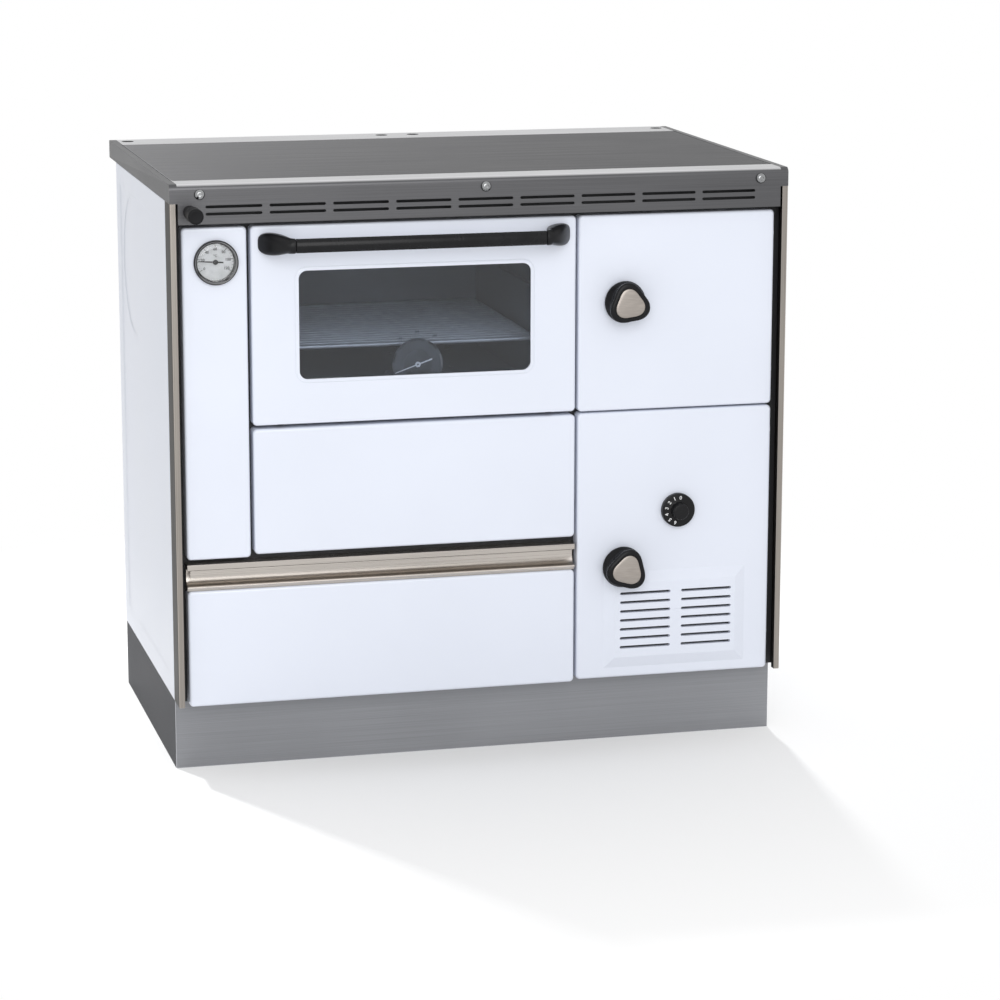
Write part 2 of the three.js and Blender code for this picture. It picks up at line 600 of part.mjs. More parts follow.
function hobFrame() {
  let shape = hobRim().add(apron());
  const behind = FRONT + APRON_LIP;
  const first = -SIDE + SLOT_MARGIN;
  const pitch = (WIDTH - 2 * SLOT_MARGIN + SLOT_SPACE) / SLOT_COUNT;
  const length = pitch - SLOT_SPACE;
  for (const drop of SLOT_ROWS) {
    for (let i = 0; i < SLOT_COUNT; i += 1) {
      shape = shape.subtract(slotCut(
        first + i * pitch, HEIGHT - drop, length, SLOT_HEIGHT, FRONT - 1, behind, 1));
    }
  }
  for (const x of [-BOLT_X, 0, BOLT_X]) {
    const z = HEIGHT - BOLT_DROP;
    shape = shape.subtract(rod([x, FRONT - 1, z], [x, behind, z], BOLT_SHANK + FIT, 12));
  }
  const hole = SIDE - RIM_HOLE_INSET;
  for (const x of [-hole, -RIM_HOLE_INSET, RIM_HOLE_INSET, hole]) {
    const y = BACK - RIM_HOLE_SETBACK;
    shape = shape.subtract(
      rod([x, y, PLATE_BOTTOM], [x, y, HEIGHT + 1], RIM_HOLE_RADIUS, 20));
  }
  return shape.subtract(rod(
    [DAMPER_X, FRONT - 1, DAMPER_Z], [DAMPER_X, behind, DAMPER_Z], DAMPER.rod + FIT));
}

function hobPlate() {
  const o = inset(HOB_OPEN, HOB_GAP, HOB_GAP, HOB_GAP, HOB_GAP);
  const geometry = new THREE.ExtrudeGeometry(roundedOutline(o, 3), {
    depth: HOB_PLATE - 2 * PLATE_EDGE, bevelSize: PLATE_EDGE, bevelThickness: PLATE_EDGE,
    bevelOffset: -PLATE_EDGE, bevelSegments: 1, curveSegments: 3,
  });
  return solid(geometry.translate(0, 0, PLATE_BOTTOM + PLATE_EDGE));
}

function railBolt(x) {
  const dome = [];
  for (let i = 0; i <= 4; i += 1) {
    const angle = (i / 4) * Math.PI / 2;
    dome.push([BOLT_RADIUS * Math.cos(angle), FIT + BOLT_DOME * Math.sin(angle)]);
  }
  dome[4][0] = 0;
  const shank = [[0, -BOLT_LENGTH], [BOLT_SHANK, -BOLT_LENGTH], [BOLT_SHANK, FIT]];
  return turnedFront([...shank, ...dome], x, FRONT, HEIGHT - BOLT_DROP, 16);
}

piece(cooker, 'hob_frame', FINISH.fascia, hobFrame());
piece(cooker, 'hob_plate', FINISH.hob, hobPlate());
piece(cooker, 'rail_bolt_left', FINISH.chrome, railBolt(-BOLT_X));
piece(cooker, 'rail_bolt_middle', FINISH.chrome, railBolt(0));
piece(cooker, 'rail_bolt_right', FINISH.chrome, railBolt(BOLT_X));

// ---------------------------------------------------------------- damper

const KNOB_FRONT = FRONT - DAMPER.length;
const SLIDE_FRONT = CASE_BACK - SMOKE.depth + FIT;
const damper = movingGroup(cooker, DAMPER_X, FRONT, DAMPER_Z);

function damperKnob() {
  const length = DAMPER.length - FIT;
  const points = [
    [0, 0], [DAMPER.knob, 0], [DAMPER.knob, length * 0.3], [DAMPER.front, length * 0.55],
    [DAMPER.front, length - 2], [DAMPER.front - 2, length], [0, length],
  ];
  const bore = rod(
    [DAMPER_X, FRONT - DAMPER.bore - FIT, DAMPER_Z], [DAMPER_X, FRONT + 1, DAMPER_Z],
    DAMPER.rod + FIT);
  return turnedFront(points, DAMPER_X, FRONT - FIT, DAMPER_Z).subtract(bore);
}

function damperRod() {
  const end = SLIDE_FRONT + SLIDE.lug + 6;
  return rod([DAMPER_X, FRONT - DAMPER.bore, DAMPER_Z], [DAMPER_X, end, DAMPER_Z], DAMPER.rod);
}

// Slide that covers the short way to the flue, with the lug that the rod pulls.
function damperSlide() {
  const z = SMOKE_TOP + FIT;
  const x0 = DAMPER_X - SLIDE.lug;
  const lug = block(
    DAMPER_X - SLIDE.lug, DAMPER_X + SLIDE.lug, SLIDE_FRONT, SLIDE_FRONT + SLIDE.lug,
    z, DAMPER_Z + SLIDE.lug);
  return block(x0, x0 + SLIDE.width, SLIDE_FRONT, SLIDE_FRONT + SLIDE.depth, z, z + SLIDE.thick)
    .add(lug)
    .subtract(rod(
      [DAMPER_X, SLIDE_FRONT - 1, DAMPER_Z], [DAMPER_X, SLIDE_FRONT + SLIDE.lug + 1, DAMPER_Z],
      DAMPER.rod + FIT));
}

piece(damper, 'damper_knob', FINISH.plastic, damperKnob());
piece(damper, 'damper_rod', FINISH.steel, damperRod());
piece(damper, 'damper_slide', FINISH.iron, damperSlide());

// ---------------------------------------------------------------- narrow panel and gauge

const GAUGE_X = narrowPanel.x0 + GAUGE.x;
const GAUGE_Z = narrowPanel.z1 - GAUGE.drop;
const GAUGE_HOLE = GAUGE.barrel + 0.4;
const SIGHT = GAUGE.barrel - 2; // radius inside the gauge's barrel

function narrowFace() {
  return pressedPanel(narrowPanel, FRAME_FACE).subtract(rod(
    [GAUGE_X, FACE - 1, GAUGE_Z], [GAUGE_X, FACE + DOOR_WALL + 1, GAUGE_Z], GAUGE_HOLE, 32));
}

// Gauge case: a cup with a bezel that stands on the panel and steps for glass and face.
function gaugeCase() {
  const { radius, collar, depth } = GAUGE;
  const out = collar - 1.5;
  const points = [
    [0, -depth], [GAUGE.barrel, -depth], [GAUGE.barrel, 0.2], [radius, 0.2], [radius, out],
    [radius - 1.5, collar], [SIGHT + 1.2, collar], [SIGHT + 1.2, 1.5], [SIGHT, 1.5],
    [SIGHT, -5], [SIGHT - 3, -5], [SIGHT - 3, 2 - depth], [0, 2 - depth],
  ];
  return turnedFront(points, GAUGE_X, FACE, GAUGE_Z, 28);
}

function gaugeFace() {
  const points = [
    [0, -4.7], [SIGHT - FIT, -4.7], [SIGHT - FIT, -3.7], [GAUGE.pin, -3.7], [GAUGE.pin, -1.2],
    [0, -1.2],
  ];
  return turnedFront(points, GAUGE_X, FACE, GAUGE_Z, 28);
}

function gaugeGlass() {
  const rim = SIGHT + 0.9;
  return turnedFront(
    [[0, 1.8], [rim, 1.8], [rim, 3.4], [0, 3.9]], GAUGE_X, FACE, GAUGE_Z, 28);
}

// A pointer about its hub: a long tapered arm, and a tail opposite.
function pointer(x, z, front, bore, { arm, tail, hub, degrees }) {
  const turn = THREE.MathUtils.degToRad(degrees);
  const back = front + NEEDLE_THICK;
  const at = (along, across) => [
    x + along * Math.cos(turn) - across * Math.sin(turn),
    z + along * Math.sin(turn) + across * Math.cos(turn),
  ];
  const outline = polygon([at(-tail, -1), at(arm, -0.5), at(arm, 0.5), at(-tail, 1)]);
  return slab(outline, front, back)
    .add(rod([x, front, z], [x, back, z], hub, 16))
    .subtract(rod([x, front - 1, z], [x, back + 1, z], bore, 12));
}

piece(cooker, 'narrow_panel', FINISH.enamel, narrowFace());
piece(cooker, 'gauge_case', FINISH.plastic, gaugeCase());
piece(cooker, 'gauge_face', FINISH.dial, gaugeFace());
piece(cooker, 'gauge_glass', FINISH.glass, gaugeGlass());
const gaugeNeedle = movingGroup(cooker, GAUGE_X, FACE, GAUGE_Z);
piece(gaugeNeedle, 'gauge_needle', FINISH.plastic,
  pointer(GAUGE_X, GAUGE_Z, FACE + 1.8, GAUGE.pin + FIT, GAUGE_NEEDLE));

// ---------------------------------------------------------------- oven door

const HINGE_Y = FACE + OVEN_AXIS.behind;
const HINGE_Z = ovenDoor.z0 + OVEN_AXIS.up;
const HINGES_X = [
  ovenDoor.x0 + OVEN_AXIS.inset, ovenDoor.x1 - OVEN_AXIS.inset - OVEN_AXIS.width,
];
const ovenDoorGroup = movingGroup(cooker, 0, HINGE_Y, HINGE_Z);

// Lug on the front frame with the pin that the door's ears turn on.
function ovenHinge(x) {
  const { width, lug, pin, ear } = OVEN_AXIS;
  const reach = ear + 2;
  return block(x, x + width, HINGE_Y, FRAME_FACE, HINGE_Z - lug, HINGE_Z + lug)
    .add(rod([x, HINGE_Y, HINGE_Z], [x + width, HINGE_Y, HINGE_Z], lug, 16))
    .add(rod([x - reach, HINGE_Y, HINGE_Z], [x + width + reach, HINGE_Y, HINGE_Z], pin, 12));
}

// Ears inside the door on both sides of a lug, and the cutter of the notch for the lug.
function ovenEars(x) {
  const { width, ear, pin } = OVEN_AXIS;
  const front = FACE + DOOR_WALL / 2;
  const top = HINGE_Z + 7;
  const make = (x0) => block(x0, x0 + ear, front, HINGE_Y + 5, ovenDoor.z0 + 1, top);
  return make(x - ear - 2 * FIT)
    .add(make(x + width + 2 * FIT))
    .subtract(rod([x - 2 * ear, HINGE_Y, HINGE_Z], [x + 3 * ear + width, HINGE_Y, HINGE_Z],
      pin + FIT, 12));
}

function ovenNotch(x) {
  const back = DOOR_BACK + 1;
  const play = 2 * FIT;
  return block(
    x - play, x + OVEN_AXIS.width + play, FACE + DOOR_WALL + 0.2, back,
    ovenDoor.z0 - 1, ovenDoor.z0 + DOOR_WALL + 1);
}

function ovenDoorPanel() {
  const bead = inset(ovenWindow, -BEAD_WIDTH, -BEAD_WIDTH, -BEAD_WIDTH, -BEAD_WIDTH);
  let shape = pressedPanel(ovenDoor, DOOR_BACK)
    .add(slab(roundedOutline(bead, WINDOW.corner + BEAD_WIDTH), FACE - BEAD_RISE,
      FACE + DOOR_WALL, BEAD_WIDTH / 2, BEAD_RISE, 2, 4))
    .subtract(slab(
      roundedOutline(ovenWindow, WINDOW.corner), FACE - 9, FACE + DOOR_WALL + 1, 0, 0, 1, 4));
  for (const x of HINGES_X) {
    shape = shape.subtract(ovenNotch(x)).add(ovenEars(x));
  }
  return shape;
}

// Liner: closes the door's back and holds the glass with a turned-forward frame.
function ovenDoorLiner() {
  const gap = DOOR_WALL + FIT;
  const plate = inset(ovenDoor, gap, gap, OVEN_LINER_LIFT, gap);
  const glassBack = FACE + DOOR_WALL + FIT + GLASS;
  const wall = inset(tunnel, -TUNNEL_SHEET, -TUNNEL_SHEET, -TUNNEL_SHEET, -TUNNEL_SHEET);
  return slab(roundedOutline(plate, 3), DOOR_BACK - LINER, DOOR_BACK)
    .add(slab(roundedOutline(wall, 8), glassBack + FIT, DOOR_BACK))
    .subtract(slab(roundedOutline(tunnel, 6.5), FACE, DOOR_BACK + 1));
}

function ovenGlass() {
  const pane = inset(tunnel, -3, -3, -3, -3);
  const front = FACE + DOOR_WALL + FIT;
  return slab(roundedOutline(pane, 8), front, front + GLASS);
}

const METER_X = ovenDoor.x0 + METER.x;
const METER_Z = ovenDoor.z0 + METER.up;
const METER_Y = FACE + METER.setback;

// Dial plate of the oven thermometer, standing on the liner's frame behind the glass.
function ovenMeter() {
  const { radius, sheet, foot, pin } = METER;
  return rod([METER_X, METER_Y, METER_Z], [METER_X, METER_Y + sheet, METER_Z], radius, 40)
    .add(block(METER_X - foot, METER_X + foot, METER_Y, METER_Y + sheet,
      tunnel.z0 + FIT, METER_Z - radius + 3))
    .add(rod([METER_X, METER_Y - 3.4, METER_Z], [METER_X, METER_Y + 0.5, METER_Z], pin, 12));
}

function handleBar() {
  const outline = new THREE.Shape();
  const y = FACE - HANDLE_REACH;
  const z = ovenDoor.z1 - HANDLE_DROP;
  outline.absellipse(y, z, BAR_DEPTH / 2, BAR_HEIGHT / 2, 0, 2 * Math.PI);
  return barX(outline, ovenDoor.x0 + BAR_INSET, ovenDoor.x1 - BAR_INSET, 10);
}

// Handle foot: its plan sweeps from the bar back to the door, its front view is a teardrop.
function handleFoot(side) {
  const edge = side < 0 ? ovenDoor.x0 : ovenDoor.x1;
  const at = (distance) => edge - side * distance;
  const z = ovenDoor.z1 - HANDLE_DROP;
  const barFront = FACE - HANDLE_REACH - BAR_DEPTH / 2;
  const barBack = barFront + BAR_DEPTH;
  const joint = BAR_INSET - FIT;
  const seat = FACE - FIT;
  const { tip, rise, lead, neck, waist, root, heel, toe, blade, turn } = FOOT_CURVE;
  const plan = new THREE.Shape();
  plan.moveTo(at(FOOT_INSET), seat);
  plan.bezierCurveTo(
    at(FOOT_INSET + tip), seat - rise, at(FOOT_INSET + lead), barFront + tip, at(joint), barFront);
  plan.lineTo(at(joint), barBack);
  plan.bezierCurveTo(
    at(joint - neck), barBack + tip, at(joint - waist), seat - heel, at(joint - root), seat);
  const view = new THREE.Shape();
  const big = FOOT_HEIGHT / 2;
  const small = BAR_HEIGHT / 2;
  view.moveTo(at(joint + neck), z - small);
  view.bezierCurveTo(
    at(joint - toe), z - small, at(FOOT_INSET + blade), z - big, at(FOOT_INSET + heel), z - big);
  view.bezierCurveTo(
    at(FOOT_INSET + tip), z - big, at(FOOT_INSET - 1), z - turn, at(FOOT_INSET - 1), z);
  view.bezierCurveTo(
    at(FOOT_INSET - 1), z + turn, at(FOOT_INSET + tip), z + big, at(FOOT_INSET + heel), z + big);
  view.bezierCurveTo(
    at(FOOT_INSET + blade), z + big, at(joint - toe), z + small, at(joint + neck), z + small);
  return postZ(plan, z - FOOT_HEIGHT, z + FOOT_HEIGHT, 8)
    .intersect(slab(view, barFront - 1, FACE + 5, 0));
}

HINGES_X.forEach((x, i) => {
  piece(cooker, `oven_hinge_${i ? 'right' : 'left'}`, FINISH.steel, ovenHinge(x));
});
piece(ovenDoorGroup, 'oven_door_panel', FINISH.enamel, ovenDoorPanel());
piece(ovenDoorGroup, 'oven_door_liner', FINISH.frame, ovenDoorLiner());
piece(ovenDoorGroup, 'oven_door_glass', FINISH.glass, ovenGlass());
piece(ovenDoorGroup, 'oven_handle_bar', FINISH.plastic, handleBar());
piece(ovenDoorGroup, 'oven_handle_foot_left', FINISH.plastic, handleFoot(-1));
piece(ovenDoorGroup, 'oven_handle_foot_right', FINISH.plastic, handleFoot(1));
piece(ovenDoorGroup, 'oven_meter', FINISH.dial, ovenMeter());
const meterNeedle = movingGroup(ovenDoorGroup, METER_X, METER_Y, METER_Z);
piece(meterNeedle, 'oven_meter_needle', FINISH.dial,
  pointer(METER_X, METER_Z, METER_Y - 2.8, METER.pin + FIT, METER_NEEDLE));

// ---------------------------------------------------------------- oven and rack

const MUFFLE_BACK = FRAME_BACK + MUFFLE.depth;

// Oven muffle: an open-fronted box on a flange behind the front frame, with rack rails.
function ovenMuffle() {
  const wall = inset(ovenMouth, -SHEET, -SHEET, -SHEET, -SHEET);
  const rim = MUFFLE.flange;
  const flange = inset(ovenMouth, -rim, -rim, -rim, -rim);
  const fill = (r, y0, y1) => block(r.x0, r.x1, y0, y1, r.z0, r.z1);
  let shape = fill(wall, FRAME_BACK, MUFFLE_BACK)
    .add(fill(flange, FRAME_BACK, FRAME_BACK + SHEET))
    .subtract(fill(ovenMouth, FRAME_BACK - 1, MUFFLE_BACK - SHEET));
  for (const level of [RACK_LEVEL, RACK_LEVEL + RACK_STEP]) {
    const z = ovenMouth.z0 + level;
    const y0 = FRAME_BACK + SHEET;
    const y1 = MUFFLE_BACK - SHEET - 5;
    shape = shape
      .add(block(ovenMouth.x0 - 1, ovenMouth.x0 + RACK_RAIL, y0, y1, z - SHEET, z))
      .add(block(ovenMouth.x1 - RACK_RAIL, ovenMouth.x1 + 1, y0, y1, z - SHEET, z));
  }
  return shape;
}

// Wire rack: a heavier frame with cross wires from side to side.
function ovenRack() {
  const x0 = ovenMouth.x0 + RACK_RAIL / 2 + RACK_BAR;
  const x1 = ovenMouth.x1 - RACK_RAIL / 2 - RACK_BAR;
  const y0 = FRAME_BACK + RACK_SETBACK + RACK_BAR;
  const y1 = y0 + RACK_DEPTH;
  const z = ovenMouth.z0 + RACK_LEVEL + FIT + RACK_BAR;
  const corners = [[x0, y0], [x1, y0], [x1, y1], [x0, y1]];
  let shape = null;
  corners.forEach(([x, y], i) => {
    const [nx, ny] = corners[(i + 1) % corners.length];
    const reach = RACK_BAR * 0.6;
    const from = [x - Math.sign(nx - x) * reach, y - Math.sign(ny - y) * reach, z];
    const to = [nx + Math.sign(nx - x) * reach, ny + Math.sign(ny - y) * reach, z];
    const bar = rod(from, to, RACK_BAR, 8);
    shape = shape ? shape.add(bar) : bar;
  });
  const wireZ = z + RACK_BAR - RACK_WIRE / 2;
  for (let y = y0 + RACK_PITCH; y < y1 - RACK_PITCH / 2; y += RACK_PITCH) {
    shape = shape.add(rod([x0, y, wireZ], [x1, y, wireZ], RACK_WIRE, 5));
  }
  return shape;
}

piece(cooker, 'oven_muffle', FINISH.muffle, ovenMuffle());
const rackGroup = movingGroup(cooker, 0, FRAME_BACK, ovenMouth.z0 + RACK_LEVEL);
piece(rackGroup, 'oven_rack', FINISH.chrome, ovenRack());

// ---------------------------------------------------------------- lower panel and drawer

const drawer = movingGroup(cooker, 0, FACE, DRAWER_BOTTOM);

function stripRail() {
  const { x0, x1 } = drawerFace;
  const z0 = STRIP_BOTTOM;
  const z1 = STRIP_TOP;
  const sheet = TRIM_SHEET;
  return block(x0, x1, FACE, FRAME_FACE, z0, z1)
    .subtract(block(x0 - 1, x1 + 1, FACE + sheet, FRAME_FACE + 1, z0 + sheet, z1 - sheet));
}

// Grip strip: a rounded nose, a scoop for the fingertips and a lip over it to pull on.
function drawerGrip() {
  const { x0, x1 } = drawerFace;
  const base = GRIP_BOTTOM;
  const top = base + GRIP_HEIGHT;
  const lipBottom = top - GRIP_LIP.height;
  const lipFront = FACE + GRIP_LIP.setback;
  const lipBack = lipFront + GRIP_LIP.sheet;
  const noseY = FACE + GRIP_NOSE;
  const noseZ = base + GRIP_BASE + GRIP_NOSE;
  const deep = FACE + GRIP_RECESS;
  const outline = new THREE.Shape();
  outline.moveTo(DOOR_BACK, base);
  outline.lineTo(noseY, base);
  outline.lineTo(noseY, base + GRIP_BASE);
  outline.absarc(noseY, noseZ, GRIP_NOSE, -Math.PI / 2, -Math.PI, true);
  outline.bezierCurveTo(FACE + 0.5, noseZ + 4, deep, noseZ - 1, deep, lipBottom);
  outline.lineTo(deep, top - 2 * GRIP_LIP.sheet);
  outline.lineTo(lipBack, top - GRIP_LIP.sheet);
  outline.lineTo(lipBack, lipBottom);
  outline.lineTo(lipFront, lipBottom);
  outline.lineTo(lipFront, top);
  outline.lineTo(deep + GRIP_BASE, top);
  outline.lineTo(deep + GRIP_BASE, base + GRIP_BASE);
  outline.lineTo(DOOR_BACK, base + GRIP_BASE);
  const notch = (xa, xb) => block(xa, xb, FACE - 1, deep - 1, lipBottom - 0.5, top + 1);
  return barX(outline, x0, x1, 6)
    .subtract(notch(x0 - 1, x0 + GRIP_LIP.short))
    .subtract(notch(x1 - GRIP_LIP.short, x1 + 1));
}

function drawerBoxShell() {
  const r = drawerBox;
  const front = FACE + DOOR_WALL + FIT;
  const back = front + BOX_DEPTH;
  return block(r.x0, r.x1, front, back, r.z0, r.z1)
    .subtract(block(
      r.x0 + BOX_SHEET, r.x1 - BOX_SHEET, front + BOX_SHEET, back - BOX_SHEET,
      r.z0 + BOX_SHEET, r.z1 + 1));
}

// Runner: a web on the plinth's deck with a leg that the drawer's box slides on.
function drawerRunner(side) {
  const edge = side < 0 ? drawerBox.x0 : drawerBox.x1;
  const web = edge + side * MOUTH_FIT;
  const outer = web + side * SHEET;
  const leg = drawerBox.z0 - FIT;
  const y0 = CASE_FRONT + SHEET;
  const y1 = FACE + DOOR_WALL + BOX_DEPTH;
  return block(web, outer, y0, y1, PLINTH_HEIGHT, PLINTH_HEIGHT + RUNNER_WALL)
    .add(block(outer, web - side * RUNNER_LEG, y0, y1, leg - SHEET, leg));
}

piece(cooker, 'lower_panel', FINISH.enamel, pressedPanel(lowerPanel, FRAME_FACE));
piece(cooker, 'strip_rail', FINISH.steel, stripRail());
piece(cooker, 'drawer_runner_left', FINISH.sheet, drawerRunner(-1));
piece(cooker, 'drawer_runner_right', FINISH.sheet, drawerRunner(1));
piece(drawer, 'drawer_front', FINISH.enamel, pressedPanel(drawerFace, DOOR_BACK));
piece(drawer, 'drawer_grip', FINISH.steel, drawerGrip());
piece(drawer, 'drawer_box', FINISH.sheet, drawerBoxShell());

// ---------------------------------------------------------------- fire door and ash door

const PIVOT_X = DOORS_EDGE - DOOR_AXIS.inset;
const PIVOT_Y = FACE + DOOR_AXIS.behind;
const KNOB_X = FIRE_LEFT + KNOB_INSET;
const fireDoorGroup = movingGroup(cooker, PIVOT_X, PIVOT_Y, fireDoor.z0);
const ashDoorGroup = movingGroup(cooker, PIVOT_X, PIVOT_Y, ashDoor.z0);
const FIRE_HINGES = [fireDoor.z0 + HINGE_LOWER.fire, fireDoor.z1 - HINGE_UPPER.fire];
const ASH_HINGES = [ashDoor.z0 + HINGE_LOWER.ash, ashDoor.z1 - HINGE_UPPER.ash];

// Lug on the front frame with an upright pin.
function doorHinge(z) {
  const { lug, height, pin, ear } = DOOR_AXIS;
  const top = z + height + ear + 2 * FIT + 1;
  return block(PIVOT_X - lug, PIVOT_X + lug, PIVOT_Y, FRAME_FACE, z, z + height)
    .add(rod([PIVOT_X, PIVOT_Y, z], [PIVOT_X, PIVOT_Y, z + height], lug, 16))
    .add(rod([PIVOT_X, PIVOT_Y, z + 1], [PIVOT_X, PIVOT_Y, top], pin, 12));
}

// Ear inside the door over a lug, joined to its front and its hinge side.
function doorEar(z) {
  const z0 = z + DOOR_AXIS.height + 2 * FIT;
  const z1 = z0 + DOOR_AXIS.ear;
  const { reach, pin } = DOOR_AXIS;
  return block(
    PIVOT_X - reach, DOORS_EDGE - DOOR_WALL / 2, FACE + DOOR_WALL / 2, PIVOT_Y + 8, z0, z1)
    .subtract(rod([PIVOT_X, PIVOT_Y, z0 - 1], [PIVOT_X, PIVOT_Y, z1 + 1], pin + FIT, 12));
}

function doorNotch(z) {
  return block(
    DOORS_EDGE - DOOR_WALL - 1, DOORS_EDGE + 1, FACE + DOOR_WALL + 0.5, DOOR_BACK + 1,
    z - 1, z + DOOR_AXIS.height + 1);
}

// Door panel with its hinge ears and the hole for the latch's shaft.
function hungDoor(r, hinges, knobZ) {
  let shape = pressedPanel(r, DOOR_BACK);
  for (const z of hinges) {
    shape = shape.subtract(doorNotch(z)).add(doorEar(z));
  }
  return shape.subtract(rod(
    [KNOB_X, FACE - 1, knobZ], [KNOB_X, FACE + DOOR_WALL + 1, knobZ], LATCH_RADIUS + FIT));
}

function doorLiner(r, knobZ) {
  const gap = DOOR_WALL + FIT;
  const plate = inset(r, gap, DOOR_AXIS.inset + 2 * DOOR_AXIS.reach, gap, gap);
  return slab(roundedOutline(plate, 3), DOOR_BACK - LINER, DOOR_BACK).subtract(rod(
    [KNOB_X, DOOR_BACK - LINER - 1, knobZ], [KNOB_X, DOOR_BACK + 1, knobZ], LATCH_RADIUS + 1));
}

// Knob: round at the door, drawn in at the waist and swelling into three soft lobes.
function knobLobes(degrees) {
  const turn = THREE.MathUtils.degToRad(degrees);
  return (angle, out) => {
    const share = THREE.MathUtils.smoothstep(out, 4, KNOB_HEIGHT * 0.7);
    return 1 + KNOB_LOBE * share * Math.cos(3 * (angle - turn));
  };
}

function latchKnob(knobZ, degrees) {
  const h = KNOB_HEIGHT;
  const r = KNOB_RADIUS;
  const neck = KNOB_NECK.height;
  const seat = CAP_RADIUS + FIT;
  const points = [
    [0, 0], [KNOB_NECK.radius, 0], [KNOB_NECK.radius, neck], [r - 1, neck], [r, neck + 1.5],
    [r - 2.5, neck + 7], [KNOB_WAIST, h * 0.4], [KNOB_WAIST + 1, h * 0.6],
    [r - 2.5, h * 0.82], [r - 2.2, h - 4.5], [r - 4, h - 1], [seat + 1, h], [seat, h - CAP_THICK],
    [0, h - CAP_THICK],
  ];
  const bore = rod(
    [KNOB_X, FACE - LATCH_REACH - 1, knobZ], [KNOB_X, FACE + 1, knobZ], LATCH_RADIUS + FIT);
  return turnedFront(points, KNOB_X, FACE - FIT, knobZ, 24, knobLobes(degrees)).subtract(bore);
}

function knobCap(knobZ, degrees) {
  const base = KNOB_HEIGHT - CAP_THICK + FIT;
  const r = CAP_RADIUS;
  const points = [[0, base], [r, base], [r, base + 1], [r - 1.5, base + 1.6], [0, base + 2.2]];
  return turnedFront(points, KNOB_X, FACE - FIT, knobZ, 24, knobLobes(degrees));
}

// Latch: the knob's shaft through the door, with a tongue that turns behind the front frame.
function latch(knobZ) {
  const { length, width, thick, behind } = LATCH_TONGUE;
  const y1 = FRAME_BACK + behind + thick / 2;
  const tongue = region(KNOB_X - width / 2, KNOB_X + width / 2, knobZ - width / 2, knobZ + length);
  return rod([KNOB_X, FACE - LATCH_REACH, knobZ], [KNOB_X, y1, knobZ], LATCH_RADIUS)
    .add(slab(roundedOutline(tongue, width / 2 - 0.5), y1 - thick, y1));
}

// Air slots in the ash door's raised field.
function ventedDoor(knobZ) {
  const { x0, x1, z0, z1 } = ventField;
  const outline = polygon([[x0, z0], [x1, z0], [x1, z1], [x0, z1]]);
  let shape = hungDoor(ashDoor, ASH_HINGES, knobZ).add(slab(
    outline, FACE - VENT.rise, FACE + DOOR_WALL / 2, VENT.slope, VENT.rise, 1));
  for (const left of [slotsLeft, slotsRight - slotLength]) {
    for (let i = 0; i < VENT_SLOT.count; i += 1) {
      const z = slotsBottom + i * VENT_SLOT.pitch;
      shape = shape.subtract(slotCut(
        left, z, slotLength, VENT_SLOT.height, FACE - 20, FACE + DOOR_WALL + 1));
    }
  }
  shape = shape.subtract(rod(
    [DIAL_X, FACE - 1, DIAL_Z], [DIAL_X, FACE + DOOR_WALL + 1, DIAL_Z], DIAL.spindle + 2 * FIT));
  for (const x of [FLAP_X0 - FLAP.ear - FIT, FLAP_X1 + FIT]) {
    shape = shape.add(block(
      x, x + FLAP.ear, FACE + DOOR_WALL / 2, FLAP_Y + 4, FLAP_Z - 4, FLAP_Z + 4)
      .subtract(rod([x - 1, FLAP_Y, FLAP_Z], [x + FLAP.ear + 1, FLAP_Y, FLAP_Z],
        FLAP.rod + FIT, 12)));
  }
  return shape;
}

// Flap behind the slots, hung on a rod along its top edge.
const slotsLeft = ventField.x0 + VENT_SLOT.left;
const slotsRight = ventField.x1 - VENT_SLOT.right;
const slotLength = (slotsRight - slotsLeft - VENT_SLOT.middle) / 2;
const slotsBottom = ventField.z0 + VENT_SLOT.bottom;
const slotsTop = slotsBottom + (VENT_SLOT.count - 1) * VENT_SLOT.pitch;
const FLAP_X0 = slotsLeft - FLAP.side;
const FLAP_X1 = slotsRight + FLAP.side;
const FLAP_Y = FACE + DOOR_WALL + 2 * FIT + FLAP.rod;
const FLAP_Z = slotsTop + FLAP.above;
const DIAL_X = ashDoor.x0 + DIAL.x;
const DIAL_Z = ashDoor.z0 + DIAL.up;

function airFlap() {
  const front = FLAP_Y - FLAP.rod;
  const reach = FLAP.ear + 2 * FIT + 1;
  return block(FLAP_X0, FLAP_X1, front, front + FLAP.sheet, slotsBottom - FLAP.below, FLAP_Z)
    .add(rod([FLAP_X0 - reach, FLAP_Y, FLAP_Z], [FLAP_X1 + reach, FLAP_Y, FLAP_Z], FLAP.rod, 12));
}

// Ash door liner: open behind the flap, and it carries the thermostat with its spindle.
function ashDoorLiner(knobZ) {
  const bodyFront = FACE + DOOR_WALL + FIT;
  const back = DOOR_BACK - LINER;
  const open = inset(
    region(FLAP_X0, FLAP_X1, slotsBottom - FLAP.below, FLAP_Z), -6, -6, -6, -6);
  return doorLiner(ashDoor, knobZ)
    .subtract(slab(roundedOutline(open, 4), FACE, DOOR_BACK + 1))
    .add(rod([DIAL_X, bodyFront, DIAL_Z], [DIAL_X, back + LINER / 2, DIAL_Z], DIAL.body, 20))
    .add(rod([DIAL_X, FACE - DIAL.height / 2, DIAL_Z], [DIAL_X, back, DIAL_Z], DIAL.spindle, 12));
}

function thermostatDial() {
  const { radius, disc, grip, height, spindle } = DIAL;
  const points = [
    [0, 0], [radius, 0], [radius, disc - 1], [radius - 1, disc], [grip, disc],
    [grip, height - 2], [grip - 2, height], [0, height],
  ];
  return turnedFront(points, DIAL_X, FACE - FIT, DIAL_Z, 32).subtract(rod(
    [DIAL_X, FACE - height / 2 - 1, DIAL_Z], [DIAL_X, FACE + 1, DIAL_Z], spindle + FIT, 12));
}

